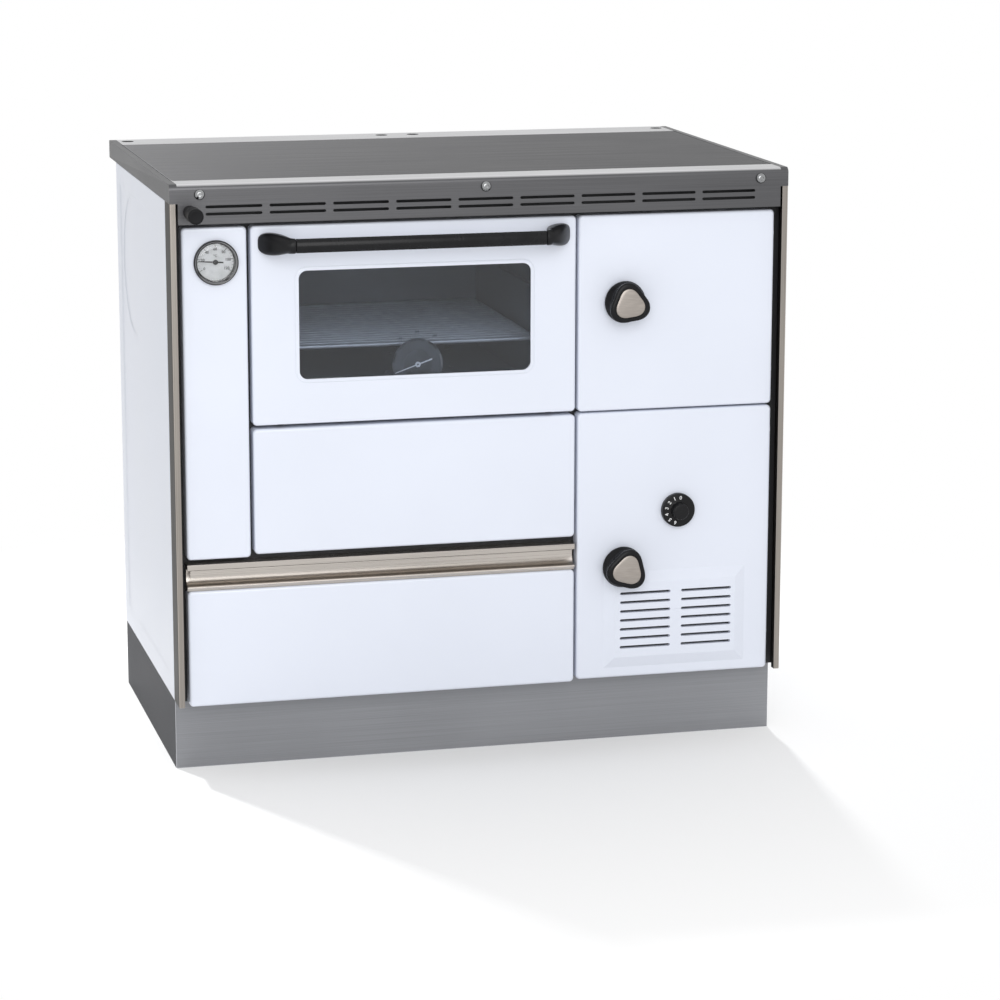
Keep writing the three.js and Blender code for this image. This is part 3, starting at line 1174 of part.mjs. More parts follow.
const FIRE_KNOB_Z = fireDoor.z0 + FIRE_KNOB_UP;
const ASH_KNOB_Z = ashDoor.z0 + ASH_KNOB_UP;

FIRE_HINGES.forEach((z, i) => {
  piece(cooker, `fire_hinge_${i ? 'upper' : 'lower'}`, FINISH.steel, doorHinge(z));
});
ASH_HINGES.forEach((z, i) => {
  piece(cooker, `ash_hinge_${i ? 'upper' : 'lower'}`, FINISH.steel, doorHinge(z));
});
piece(fireDoorGroup, 'fire_door_panel', FINISH.enamel,
  hungDoor(fireDoor, FIRE_HINGES, FIRE_KNOB_Z));
piece(fireDoorGroup, 'fire_door_liner', FINISH.iron, doorLiner(fireDoor, FIRE_KNOB_Z));
piece(ashDoorGroup, 'ash_door_panel', FINISH.enamel, ventedDoor(ASH_KNOB_Z));
piece(ashDoorGroup, 'ash_door_liner', FINISH.iron, ashDoorLiner(ASH_KNOB_Z));

const fireLatch = movingGroup(fireDoorGroup, KNOB_X, FACE, FIRE_KNOB_Z);
piece(fireLatch, 'fire_knob', FINISH.plastic, latchKnob(FIRE_KNOB_Z, FIRE_KNOB_TURN));
piece(fireLatch, 'fire_knob_cap', FINISH.nickel, knobCap(FIRE_KNOB_Z, FIRE_KNOB_TURN));
piece(fireLatch, 'fire_latch', FINISH.steel, latch(FIRE_KNOB_Z));

const ashLatch = movingGroup(ashDoorGroup, KNOB_X, FACE, ASH_KNOB_Z);
piece(ashLatch, 'ash_knob', FINISH.plastic, latchKnob(ASH_KNOB_Z, ASH_KNOB_TURN));
piece(ashLatch, 'ash_knob_cap', FINISH.nickel, knobCap(ASH_KNOB_Z, ASH_KNOB_TURN));
piece(ashLatch, 'ash_latch', FINISH.steel, latch(ASH_KNOB_Z));

const dialGroup = movingGroup(ashDoorGroup, DIAL_X, FACE, DIAL_Z);
piece(dialGroup, 'thermostat_dial', FINISH.plastic, thermostatDial());
const flapGroup = movingGroup(ashDoorGroup, 0, FLAP_Y, FLAP_Z);
piece(flapGroup, 'air_flap', FINISH.iron, airFlap());

// ---------------------------------------------------------------- boiler, grate and ash pan

const BOILER_FRONT = FRONT + BOILER.front;
const BOILER_BACK = CASE_BACK - BOILER.back;
const FIREBOX_BACK = BOILER_BACK - BOILER.wall;
const GRATE_SEAT = firebox.z0 - GRATE;

// Boiler: a water jacket on three sides of the fire, with ledges and pipe stubs. The pan's
// left ledge is the wider one, because the pan stands clear of the front frame's stile.
function boiler() {
  const { x0, x1, z1: top } = firebox;
  const stubEnd = BODY_BACK + STUB.reach;
  const ledge = (xa, xb, z) => block(xa, xb, BOILER_FRONT, FIREBOX_BACK + 1, z - LEDGE, z);
  let shape = block(BOILER_LEFT, BOILER_RIGHT, BOILER_FRONT, BOILER_BACK, PLINTH_HEIGHT, top)
    .subtract(block(x0, x1, BOILER_FRONT - 1, FIREBOX_BACK, PLINTH_HEIGHT - 1, top + 1))
    .add(ledge(x0 - 1, x0 + LEDGE, GRATE_SEAT))
    .add(ledge(x1 - LEDGE, x1 + 1, GRATE_SEAT))
    .add(ledge(x0 - 1, panLeft + PAN.seat, PAN.floor))
    .add(ledge(x1 - LEDGE, x1 + 1, PAN.floor));
  for (const z of [FLOW_Z, STUB.ret]) {
    shape = shape
      .add(rod([STUB_X, BOILER_BACK - 1, z], [STUB_X, stubEnd, z], STUB.radius, 20))
      .subtract(rod([STUB_X, BOILER_BACK + 5, z], [STUB_X, stubEnd + 1, z], STUB.bore, 20));
  }
  return shape;
}

function grate() {
  const x0 = firebox.x0 + 2;
  const x1 = firebox.x1 - 2;
  const y0 = BOILER_FRONT + 2;
  const y1 = FIREBOX_BACK - 2;
  const middle = (y0 + y1) / 2;
  const { width, pitch, count, margin } = GRATE_SLOT;
  let shape = block(x0, x1, y0, y1, GRATE_SEAT, firebox.z0);
  for (let i = 0; i < count; i += 1) {
    const x = (x0 + x1) / 2 + (i - (count - 1) / 2) * pitch;
    for (const [ya, yb] of [[y0 + margin, middle - margin / 2], [middle + margin / 2, y1 - margin]]) {
      shape = shape.subtract(block(
        x - width / 2, x + width / 2, ya, yb, GRATE_SEAT - 1, firebox.z0 + 1));
    }
  }
  return shape;
}

// Ash pan: a tray on the lower ledges, with a tab to draw it by.
function ashPan() {
  const x0 = panLeft;
  const x1 = firebox.x1 - PAN.side;
  const y0 = FRONT + PAN.front;
  const y1 = FIREBOX_BACK - PAN.back;
  const z0 = PAN.floor + FIT;
  const z1 = z0 + PAN.height;
  const tabLeft = (x0 + x1 - PAN.tab.width) / 2;
  return block(x0, x1, y0, y1, z0, z1)
    .subtract(block(
      x0 + PAN.wall, x1 - PAN.wall, y0 + PAN.wall, y1 - PAN.wall, z0 + PAN.wall, z1 + 1))
    .add(block(
      tabLeft, tabLeft + PAN.tab.width, y0 - PAN.tab.reach, y0 + 1, z1 - PAN.wall, z1));
}

piece(cooker, 'boiler', FINISH.iron, boiler());
piece(cooker, 'grate', FINISH.iron, grate());
const panGroup = movingGroup(cooker, 0, FRONT + PAN.front, PAN.floor);
piece(panGroup, 'ash_pan', FINISH.sheet, ashPan());

// ---------------------------------------------------------------- flue

// Smoke box behind the oven: open below, its top opening closed by the damper's slide.
function smokeBox() {
  const { width, height, depth, sheet } = SMOKE;
  const top = SMOKE_TOP;
  const bottom = top - height;
  const left = -SIDE + FLANGE + FIT;
  const right = -SIDE + width;
  const y0 = CASE_BACK - depth;
  const slideX = DAMPER_X - SLIDE.lug;
  const lap = SLIDE.lap;
  return block(left, right, y0, CASE_BACK, bottom, top)
    .subtract(block(
      left + sheet, right - sheet, y0 + sheet, CASE_BACK - sheet, bottom - 1, top - sheet))
    .subtract(block(
      slideX + lap, slideX + SLIDE.width - lap, SLIDE_FRONT + lap, SLIDE_FRONT + SLIDE.depth - lap,
      top - sheet - 1, top + 1))
    .subtract(rod([FLUE_X, CASE_BACK - depth / 2, FLUE_Z], [FLUE_X, CASE_BACK + 1, FLUE_Z],
      FLUE.radius + 2 * FIT, 32));
}

// Flue collar: a spigot with a flange that is screwed to the back panel.
function flueCollar() {
  const { radius, wall, flange, length } = FLUE;
  const y0 = CASE_BACK - SMOKE.sheet;
  const y1 = BODY_BACK;
  const y2 = BODY_BACK + wall;
  const y3 = BODY_BACK + length;
  const profile = [
    [radius - wall, y0], [radius, y0], [radius, y1], [flange, y1], [flange, y2], [radius, y2],
    [radius, y3], [radius - wall, y3], [radius - wall, y0],
  ].map(([r, y]) => new THREE.Vector2(r, y));
  return solid(new THREE.LatheGeometry(profile, 32).translate(FLUE_X, 0, FLUE_Z));
}

piece(cooker, 'smoke_box', FINISH.iron, smokeBox());
piece(cooker, 'flue_collar', FINISH.iron, flueCollar());

// ---------------------------------------------------------------- place on the floor

// The box runs from the damper knob's front to the hob frame's back edge.
cooker.position.y = -(KNOB_FRONT + BACK) / 2;

export default cooker;
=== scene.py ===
import json
import math

import bmesh
import bpy
from mathutils import Matrix, Vector

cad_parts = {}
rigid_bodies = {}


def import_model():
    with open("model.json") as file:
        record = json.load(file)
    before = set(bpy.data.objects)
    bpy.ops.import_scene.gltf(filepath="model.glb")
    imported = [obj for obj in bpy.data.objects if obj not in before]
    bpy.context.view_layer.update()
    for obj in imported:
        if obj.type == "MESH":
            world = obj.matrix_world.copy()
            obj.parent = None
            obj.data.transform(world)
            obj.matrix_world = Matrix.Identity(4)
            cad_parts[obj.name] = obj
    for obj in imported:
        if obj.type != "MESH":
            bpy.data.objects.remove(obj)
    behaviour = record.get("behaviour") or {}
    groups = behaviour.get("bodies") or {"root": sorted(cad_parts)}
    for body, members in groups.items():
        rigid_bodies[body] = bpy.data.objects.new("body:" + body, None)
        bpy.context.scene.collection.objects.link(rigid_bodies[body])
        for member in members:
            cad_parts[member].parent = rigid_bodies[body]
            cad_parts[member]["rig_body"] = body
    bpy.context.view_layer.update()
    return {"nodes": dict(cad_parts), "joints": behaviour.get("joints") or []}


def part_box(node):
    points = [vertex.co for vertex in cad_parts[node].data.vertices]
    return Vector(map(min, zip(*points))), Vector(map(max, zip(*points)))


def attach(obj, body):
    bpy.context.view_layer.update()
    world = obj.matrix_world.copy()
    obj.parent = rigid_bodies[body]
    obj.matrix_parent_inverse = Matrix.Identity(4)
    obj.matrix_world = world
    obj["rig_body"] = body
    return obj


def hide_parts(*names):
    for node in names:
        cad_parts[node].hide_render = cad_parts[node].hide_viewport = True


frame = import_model()
scene = bpy.context.scene
joint_at = {joint["name"]: Vector(joint["pos_m"]) for joint in frame["joints"] if "pos_m" in joint}


# ------ plinth
# A box folded from steel sheet that stands on the floor and carries the whole cooker. Its face
# is brushed lengthwise and coated with clear grey lacquer.
JOIN_WITHIN = 2e-5  # metres between corners of facets that are one corner
FLAT, SLIGHT, FOLD = 0.5, 8, 46  # degrees between faces: one flat, a slight fold, an edge
PREFIX = {"SHADER": "ShaderNode", "GEOMETRY": "GeometryNode"}


def add_node(tree, kind, inputs=None, **settings):
    """A node in a tree: inputs takes values and sockets by name or index, settings its options.
    The kind goes without its prefix where that is the tree's own."""
    node = tree.nodes.new(kind if "Node" in kind else PREFIX[tree.type] + kind)
    for key, value in settings.items():
        setattr(node, key, value)
    for key, value in (inputs or {}).items():
        socket = node.inputs[key]
        if isinstance(value, bpy.types.NodeSocket):
            tree.links.new(value, socket)
        else:
            socket.default_value = value
    return node


def put(tree, kind, inputs=None, **settings):
    """The first output of a new node."""
    return add_node(tree, kind, inputs, **settings).outputs[0]


def maths(tree, operation, a, b=0.0, **settings):
    """The result of one operation on numbers."""
    return put(tree, "ShaderNodeMath", {0: a, 1: b}, operation=operation, **settings)


def times(tree, a, b):
    """Their product."""
    return maths(tree, "MULTIPLY", a, b)


def ranged(tree, value, low, high, to_low, to_high):
    """Carries a value from low..high to to_low..to_high."""
    return put(tree, "MapRange", {
        "Value": value, "From Min": low, "From Max": high, "To Min": to_low, "To Max": to_high})


def spread(tree, value, low, high):
    """Carries a texture's middle range to low..high."""
    return ranged(tree, value, 0.3, 0.7, low, high)


def noise(tree, spot, scale, detail):
    return put(tree, "TexNoise", {"Vector": spot, "Scale": scale, "Detail": detail})


def tinted(tree, colour, factor):
    """A colour made lighter or darker by a factor."""
    return put(tree, "VectorMath", {0: colour, "Scale": factor}, operation="SCALE")


def axes(tree, vector):
    return add_node(tree, "SeparateXYZ", {0: vector}).outputs


def add_inputs(tree, usual):
    """Gives a tree its named inputs. The usual value of each also tells its kind."""
    kinds = {int: "Int", float: "Float", tuple: "Vector", type(None): "Material"}
    for label, value in usual.items():
        kind = "Color" if label == "Colour" else kinds[type(value)]
        socket = tree.interface.new_socket(
            name=label, in_out="INPUT", socket_type="NodeSocket" + kind)
        if value is not None:
            socket.default_value = value


def effect(name, **usual):
    """An empty shader group with its named sockets, and the places that its textures read."""
    tree = bpy.data.node_groups.new(name, "ShaderNodeTree")
    add_inputs(tree, usual)
    for label, kind in (("Colour", "Color"), ("Roughness", "Float"), ("Normal", "Vector")):
        tree.interface.new_socket(name=label, in_out="OUTPUT", socket_type="NodeSocket" + kind)
    place = add_node(tree, "TexCoord").outputs
    return tree, tree.nodes.new("NodeGroupInput").outputs, place


def close_effect(tree, given, colour, rough, height, relief):
    """Ends a group: its colour, gloss, and a normal from a height of so many metres."""
    out = tree.nodes.new("NodeGroupOutput").inputs
    bump = put(tree, "Bump", {"Strength": given["Depth"], "Distance": relief, "Height": height})
    for label, socket in (("Colour", colour), ("Roughness", rough), ("Normal", bump)):
        tree.links.new(socket, out[label])
    return tree


def brushed_effect():
    """Fine parallel scratches, drawn out along one axis, in colour, gloss and relief. Faces to
    the sides can be darkened as painted shade, and bevelled edges lightened as a painted highlight."""
    tree, given, place = effect(
        "brushed grain", Colour=(0.5, 0.5, 0.5, 1), Roughness=0.35, Stretch=(5, 900, 900),
        Depth=0.2, Sides=1.0, Edges=1.0)
    drawn = put(
        tree, "VectorMath", {0: place["Object"], 1: given["Stretch"]}, operation="MULTIPLY")
    fine = noise(tree, drawn, 1, 4)
    wide = noise(tree, place["Object"], 3.5, 3)
    facing = axes(tree, put(tree, "VectorMath", {0: place["Normal"]}, operation="ABSOLUTE"))
    # Faces that look to the sides are painted darker: painted shade.
    side = ranged(tree, facing["X"], 0.5, 0.8, 1.0, given["Sides"])
    # Faces between the axes, the bevels, are painted lighter: a painted highlight.
    most = maths(tree, "MAXIMUM", facing["X"], facing["Y"])
    most = maths(tree, "MAXIMUM", most, facing["Z"])
    edge_highlight = ranged(tree, most, 0.97, 0.86, 1.0, given["Edges"])
    colour = tinted(tree, given["Colour"], times(tree, side, edge_highlight))
    colour = tinted(tree, colour, spread(tree, fine, 0.9, 1.1))
    colour = tinted(tree, colour, spread(tree, wide, 0.95, 1.05))
    rough = times(tree, given["Roughness"], spread(tree, fine, 0.82, 1.18))
    rough = times(tree, rough, spread(tree, wide, 0.93, 1.07))
    return close_effect(tree, given, colour, rough, fine, 0.0003)


def surface(name, group, colour, roughness, depth, metallic=0.0, **more):
    """A material whose colour, gloss and relief come from a shader group. more sets other inputs
    of the group, and of the shader where the group has none of that name."""
    material = bpy.data.materials.new(name)
    material.use_nodes = True
    tree = material.node_tree
    shader = tree.nodes["Principled BSDF"].inputs
    coat = add_node(tree, "Group", node_tree=group)
    more = {"Colour": (*colour, 1), "Roughness": roughness, "Depth": depth, **more}
    for key, value in more.items():
        label = key.replace("_", " ")
        (coat.inputs if label in coat.inputs else shader)[label].default_value = value
    for label, socket in (("Colour", "Base Color"), ("Roughness",) * 2, ("Normal",) * 2):
        tree.links.new(coat.outputs[label], shader[socket])
    shader["Metallic"].default_value = metallic
    return material


def show(name, mesh, body, slot, *nodes):
    """Adds a finished mesh to the cooker, in place of the CAD nodes named."""
    piece = bpy.data.objects.new(name, mesh)
    scene.collection.objects.link(piece)
    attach(piece, body)
    if nodes:
        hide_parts(*nodes)
    return piece


def settled(draft):
    """The draft object's mesh with its modifiers carried out; the draft goes."""
    bpy.context.view_layer.update()
    evaluated = draft.evaluated_get(bpy.context.evaluated_depsgraph_get())
    mesh = bpy.data.meshes.new_from_object(evaluated)
    mesh.name = draft.name
    bpy.data.objects.remove(draft)
    return mesh


def drafted(name, data):
    """A passing object that is made only to be settled into a mesh."""
    draft = bpy.data.objects.new(name, data)
    scene.collection.objects.link(draft)
    return draft


def poured(name, shape, material, sharp=None):
    """The mesh of a finished shape, smooth but for edges sharper than so many degrees."""
    mesh = bpy.data.meshes.new(name)
    shape.to_mesh(mesh)
    shape.free()
    mesh.materials.append(material)
    if sharp:
        mesh.shade_smooth()
        mesh.set_sharp_from_angle(angle=math.radians(sharp))
    return mesh


def refined(node, material, slot, edge=0.0005, least=0.0, crisp=None):
    """Shows a CAD piece with its facets joined, its curves smooth, and every edge that is longer
    than least broken by this much. Inside crisp, low and high x and z, slight folds stay sharp."""
    shape = bmesh.new()
    shape.from_mesh(frame["nodes"][node].data)
    bmesh.ops.remove_doubles(shape, verts=shape.verts[:], dist=JOIN_WITHIN)
    bmesh.ops.dissolve_limit(
        shape, angle_limit=math.radians(FLAT), verts=shape.verts[:], edges=shape.edges[:])
    if edge:
        bmesh.ops.bevel(shape, geom=[
            line for line in shape.edges
            if line.calc_face_angle(0) > math.radians(FOLD) and line.calc_length() > least],
            affect="EDGES", offset=edge, offset_type="OFFSET", segments=2, profile=0.5)
    for face in shape.faces:
        face.material_index = 0
    mesh = poured(node, shape, material, sharp=FOLD)
    if crisp:
        x0, x1, z0, z1 = crisp
        shape = bmesh.new()
        shape.from_mesh(mesh)
        for line in shape.edges:
            if line.calc_face_angle(0) > math.radians(SLIGHT) and all(
                    x0 < vert.co.x < x1 and z0 < vert.co.z < z1 for vert in line.verts):
                line.smooth = False
        shape.to_mesh(mesh)
        shape.free()
    draft = drafted(node + "_finished", mesh)
    draft.modifiers.new("flats", "WEIGHTED_NORMAL").keep_sharp = True
    return show(node + "_finished", settled(draft), frame["nodes"][node]["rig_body"], slot, node)


BRUSHED = brushed_effect()
# The side faces are painted darker as painted shade, and the bevelled edges lighter as a painted
# highlight.
plinth_steel = surface(
    "plinth lacquered steel", BRUSHED, (0.285, 0.29, 0.305), 0.46, 0.1, 0.6,
    Stretch=(4, 1100, 1100), Sides=0.4, Edges=3.2, Specular_Tint=(0.2, 0.2, 0.21, 1))
refined("plinth", plinth_steel, "plinth", 0.0009)


# ------ side panels and knock-outs
# Trays folded from sheet steel, powder coated white, with a pressed field and a round disc that
# is held by four small bridges and can be knocked out for a flue at the side.

def blended(tree, share, one, two):
    """Goes from colour one to colour two by a share."""
    mix = add_node(tree, "Mix", {0: share, 6: one, 7: two}, data_type="RGBA")
    return mix.outputs[2]


def paint_effect():
    """The skin of a coat of paint or enamel: slight ripple, slight mottling, dust low down."""
    tree, given, place = effect(
        "paint skin", Colour=(0.8, 0.8, 0.8, 1), Roughness=0.3, Ripples=260.0, Depth=0.1, Dust=0.03)
    spot = place["Object"]
    ripple = noise(tree, spot, given["Ripples"], 2)
    wide = noise(tree, spot, 4.5, 3)
    low = ranged(tree, axes(tree, spot)["Z"], 0.0, 0.3, 1.0, 0.0)
    dust = times(tree, times(tree, low, given["Dust"]), spread(tree, wide, 0.4, 1.2))
    clean = tinted(tree, given["Colour"], spread(tree, wide, 0.985, 1.012))
    colour = blended(tree, dust, clean, (0.42, 0.40, 0.37, 1))
    rough = times(tree, given["Roughness"], spread(tree, wide, 0.9, 1.12))
    return close_effect(tree, given, colour, rough, ripple, 0.0004)


def growth(name, **usual):
    """An empty Geometry Nodes tree with its named inputs."""
    tree = bpy.data.node_groups.new(name, "GeometryNodeTree")
    tree.interface.new_socket(name="Geometry", in_out="OUTPUT", socket_type="NodeSocketGeometry")
    add_inputs(tree, {**usual, "Material": None})
    return tree, tree.nodes.new("NodeGroupInput").outputs


def coated(tree, geometry, material):
    return put(tree, "SetMaterial", {"Geometry": geometry, "Material": material})


def joined(tree, *parts):
    join = add_node(tree, "JoinGeometry")
    for part in parts:
        tree.links.new(part, join.inputs[0])
    return join.outputs[0]


def close_growth(tree, given, geometry, placed=None):
    """Ends a tree: moved by placed, instances made real, one material."""
    if placed:
        geometry = put(tree, "Transform", {"Geometry": geometry, **placed})
    real = put(tree, "RealizeInstances", {0: geometry})
    done = coated(tree, real, given["Material"])
    tree.links.new(done, tree.nodes.new("NodeGroupOutput").inputs[0])
    return tree


def grown(name, tree, **sizes):
    """Mesh that a Geometry Nodes tree makes from these sizes."""
    draft = drafted(name, bpy.data.meshes.new(name))
    modifier = draft.modifiers.new("growth", "NODES")
    modifier.node_group = tree
    for item in tree.interface.items_tree:
        if item.in_out == "INPUT" and item.name in sizes:
            modifier[item.identifier] = sizes[item.name]
    return settled(draft)


def show_grown(name, tree, body, slot, **sizes):
    show(name, grown(name, tree, **sizes), body, slot)


def in_place(tree, count):
    """So many points at the origin, for instances that differ only in their turn."""
    return put(tree, "MeshLine", {"Count": count, "Start Location": (0, 0, 0), "Offset": (0, 0, 0)})


def ring_of(tree, resolution, radius):
    return put(tree, "CurvePrimitiveCircle", {"Resolution": resolution, "Radius": radius})


def vector_of(tree, **parts):
    return put(tree, "ShaderNodeCombineXYZ", parts)


def knockout_tree():
    """Narrow cuts on a circle, with a bridge left between each two."""
    tree, given = growth("knock-out cuts", Radius=0.105, Cuts=4, Bridge=0.2, Width=0.0012,
                         Centre=(0, 0, 0), Turn=(0, 0, 0))
    whole = maths(tree, "DIVIDE", math.tau, given["Cuts"])
    arc = put(tree, "CurveArc", {
        "Resolution": 24, "Radius": given["Radius"],
        "Start Angle": times(tree, given["Bridge"], 0.5),
        "Sweep Angle": maths(tree, "SUBTRACT", whole, given["Bridge"])})
    cut = put(tree, "CurveToMesh", {
        "Curve": arc, "Profile Curve": ring_of(tree, 6, times(tree, given["Width"], 0.5)),
        "Fill Caps": True})
    angle = times(tree, put(tree, "InputIndex"), whole)
    ring = put(tree, "InstanceOnPoints", {
        "Points": in_place(tree, given["Cuts"]), "Instance": cut,
        "Rotation": vector_of(tree, Z=angle)})
    return close_growth(tree, given, ring, {
        "Translation": given["Centre"], "Rotation": given["Turn"]})


PAINT = paint_effect()
# The coat is a little darker and greyer than the door enamel: in part a different finish, in part
# painted shade for the sides.
casing_coat = surface("white powder coat", PAINT, (0.755, 0.785, 0.86), 0.36, 0.12, Ripples=420,
                      Dust=0.05, Coat_Weight=0.15, Coat_Roughness=0.3)
dark_gap = surface("shadow black", PAINT, (0.012, 0.012, 0.013), 0.8, 0.0, Dust=0.0)
refined("side_panel_left", casing_coat, "casing", 0.0008)
refined("side_panel_right", casing_coat, "casing", 0.0008)

QUARTER = math.radians(90)
KNOCKOUT = knockout_tree()
KNOCKOUT_X, KNOCKOUT_Y, KNOCKOUT_Z = 0.4481, 0.0955, 0.688
# The cuts are shadow black: painted shade in the open slits.
for side, word in ((-1, "left"), (1, "right")):
    show_grown("knockout_cuts_" + word, KNOCKOUT, "casing", "casing", Radius=0.1035, Cuts=4,
               Bridge=0.14, Width=0.0011, Centre=(side * KNOCKOUT_X, KNOCKOUT_Y, KNOCKOUT_Z),
               Turn=(0, QUARTER, 0), Material=dark_gap)


# ------ back panel and its screws
# A plain zinc-coated sheet that closes the back, held to the side flanges and to the plinth by
# sheet-metal screws at even steps.

def bare_material(name):
    """A new material, its tree, its shader and the coordinates of the object that wears it."""
    material = bpy.data.materials.new(name)
    material.use_nodes = True
    tree = material.node_tree
    spot = add_node(tree, "TexCoord").outputs["Object"]
    return material, tree, tree.nodes["Principled BSDF"], spot


def zinc_material():
    """Zinc coating with its large flat crystals."""
    material, tree, shader, spot = bare_material("zinc-coated sheet")
    cells = add_node(tree, "TexVoronoi", {"Vector": spot, "Scale": 55, "Randomness": 1})
    tone = put(tree, "SeparateColor", {0: cells.outputs["Color"]})
    bright = ranged(tree, tone, 0.0, 1.0, 0.8, 1.15)
    tree.links.new(tinted(tree, (0.36, 0.37, 0.38), bright), shader.inputs["Base Color"])
    tree.links.new(ranged(tree, tone, 0.0, 1.0, 0.34, 0.52), shader.inputs["Roughness"])
    shader.inputs["Metallic"].default_value = 0.85
    return material


def screw_tree():
    """Pan-head screws at even steps along a straight line, each with a shadow-black hexagon on its
    head as the painted shade of its recess.
    """
    tree, given = growth("screw row", Count=5, Start=(0, 0, 0), Step=(0.1, 0, 0), Head=0.0038,
                         Turn=(0, 0, 0), Recess=None)
    skirt = put(tree, "MeshCylinder", {"Vertices": 20, "Radius": given["Head"], "Depth": 0.0008})
    crown = put(tree, "MeshCone", {
        "Vertices": 20, "Radius Top": times(tree, given["Head"], 0.7),
        "Radius Bottom": given["Head"], "Depth": 0.0012})
    raised = put(tree, "Transform", {"Geometry": crown, "Translation": (0, 0, 0.0004)})
    steel = coated(tree, joined(tree, skirt, raised), given["Material"])
    # A shadow-black hexagon on top of the crown: painted shade standing for the recess.
    socket = put(tree, "MeshCylinder", {
        "Vertices": 6, "Radius": times(tree, given["Head"], 0.42), "Depth": 0.0004})
    recess_shade = put(tree, "Transform", {"Geometry": socket, "Translation": (0, 0, 0.0015)})
    screw = joined(tree, steel, coated(tree, recess_shade, given["Recess"]))
    line = put(tree, "MeshLine", {
        "Count": given["Count"], "Start Location": given["Start"], "Offset": given["Step"]})
    row = put(tree, "InstanceOnPoints", {
        "Points": line, "Instance": screw, "Rotation": given["Turn"]})
    real = put(tree, "RealizeInstances", {0: row})
    tree.links.new(real, tree.nodes.new("NodeGroupOutput").inputs[0])
    return tree


def dressed(material, *nodes):
    """Gives plain CAD pieces their material."""
    for node in nodes:
        data = frame["nodes"][node].data
        data.materials.clear()
        data.materials.append(material)


zinc = zinc_material()
dressed(zinc, "back_panel")
SCREWS = screw_tree()
SCREW_HEAD = 0.0042
back_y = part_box("back_panel")[1].y + 0.0004


def screw_row(name, count, start, step, slot):
    """A row of screws whose heads look to the back."""
    show_grown(name, SCREWS, "casing", slot, Count=count, Start=start, Step=step,
               Turn=(-QUARTER, 0, 0), Head=SCREW_HEAD, Material=zinc, Recess=dark_gap)


for word, x in (("left", -0.440), ("right", 0.440)):
    screw_row("back_screws_" + word, 6, (x, back_y, 0.145), (0, 0, 0.13), "sheet")
for word, z in (("top", 0.812), ("bottom", 0.113)):
    screw_row("back_screws_" + word, 5, (-0.32, back_y, z), (0.16, 0, 0), "sheet")


# ------ front frame and corner trims
# One sheet behind all the doors, painted with black stove paint, with a mouth for each
# compartment. Bent strips of satin nickel-plated steel cover its ends at both corners.

def grey(tone):
    """A grey of one tone."""
    return (tone, tone, tone, 1)


stove_paint = surface("black stove paint", PAINT, (0.028, 0.028, 0.03), 0.6, 0.25, Ripples=900,
                      Dust=0.0)
# The side legs are painted darker as painted shade, and the bent edges lighter as a painted
# highlight.
trim_steel = surface(
    "satin nickel strip", BRUSHED, (0.30, 0.275, 0.25), 0.33, 0.12, 0.9,
    Stretch=(900, 900, 4), Sides=0.2, Edges=2.4, Specular_Tint=grey(0.5))
dressed(stove_paint, "front_frame")
refined("corner_trim_left", trim_steel, "trim", 0.0004)
refined("corner_trim_right", trim_steel, "trim", 0.0004)


# ------ hob frame, plate and bolts
# The frame is welded from thick sheet, ground along its length and blackened, with air slots
# in its apron. The plate lies loose in it, ground flat, with a thin shadow-black cord in the
# gap round it as painted shade. Domed chrome bolts fill the holes meant for a towel rail.
fascia_steel = surface(
    "blackened hob frame", BRUSHED, (0.11, 0.11, 0.115), 0.36, 0.1, 0.8,
    Stretch=(4, 800, 800), Specular_Tint=grey(0.7))
plate_steel = surface(
    "ground hob plate", BRUSHED, (0.06, 0.06, 0.063), 0.42, 0.2, 0.5,
    Stretch=(3, 600, 600), Specular_Tint=grey(0.25))


RIM_HIGHLIGHT_END = 0.4392  # x where the painted highlight on the rims stops
SLOTS_LOW, SLOTS_HIGH = 0.8045, 0.8215


def paint_rim_highlight_and_slot_shade(material, bright):
    """Paints light and shade into the frame's colour: the upper faces of the front and back rims
    get a painted highlight, and the slots' inner faces a near-black painted shade."""
    tree = material.node_tree
    skin = next(node for node in tree.nodes if node.type == "GROUP")
    plain = tuple(skin.inputs["Colour"].default_value)
    place = add_node(tree, "TexCoord").outputs
    normal = axes(tree, place["Normal"])
    spot = axes(tree, place["Object"])

    def within(value, low, high):
        off = maths(tree, "ABSOLUTE", maths(tree, "SUBTRACT", value, (low + high) / 2))
        return maths(tree, "LESS_THAN", off, (high - low) / 2)

    upward = ranged(tree, normal["Z"], 0.55, 0.9, 0.0, 1.0)
    rim_highlight = times(tree, upward, within(spot["X"], -RIM_HIGHLIGHT_END, RIM_HIGHLIGHT_END))
    # The slots' inner faces go near-black: painted shade.
    slot = times(tree, within(spot["Z"], SLOTS_LOW, SLOTS_HIGH), within(normal["Y"], -0.5, 0.5))
    lit = blended(tree, rim_highlight, plain, bright)
    tree.links.new(blended(tree, slot, lit, (0.004, 0.004, 0.004, 1)), skin.inputs["Colour"])


# Painted highlight on the rim tops, painted shade inside the slots.
paint_rim_highlight_and_slot_shade(fascia_steel, (0.72, 0.72, 0.73, 1))
refined("hob_frame", fascia_steel, "fascia", 0.0008, 0.3)
hob_plate_piece = refined("hob_plate", plate_steel, "hob", 0.0004)


def bent_path(tree, width, height, corner, count):
    """A rectangle with rounded corners, cut into so many even steps."""
    path = put(tree, "CurvePrimitiveQuadrilateral", {"Width": width, "Height": height})
    rounded = put(tree, "FilletCurve", {"Curve": path, "Radius": corner})
    return put(tree, "ResampleCurve", {"Curve": rounded, "Count": count})


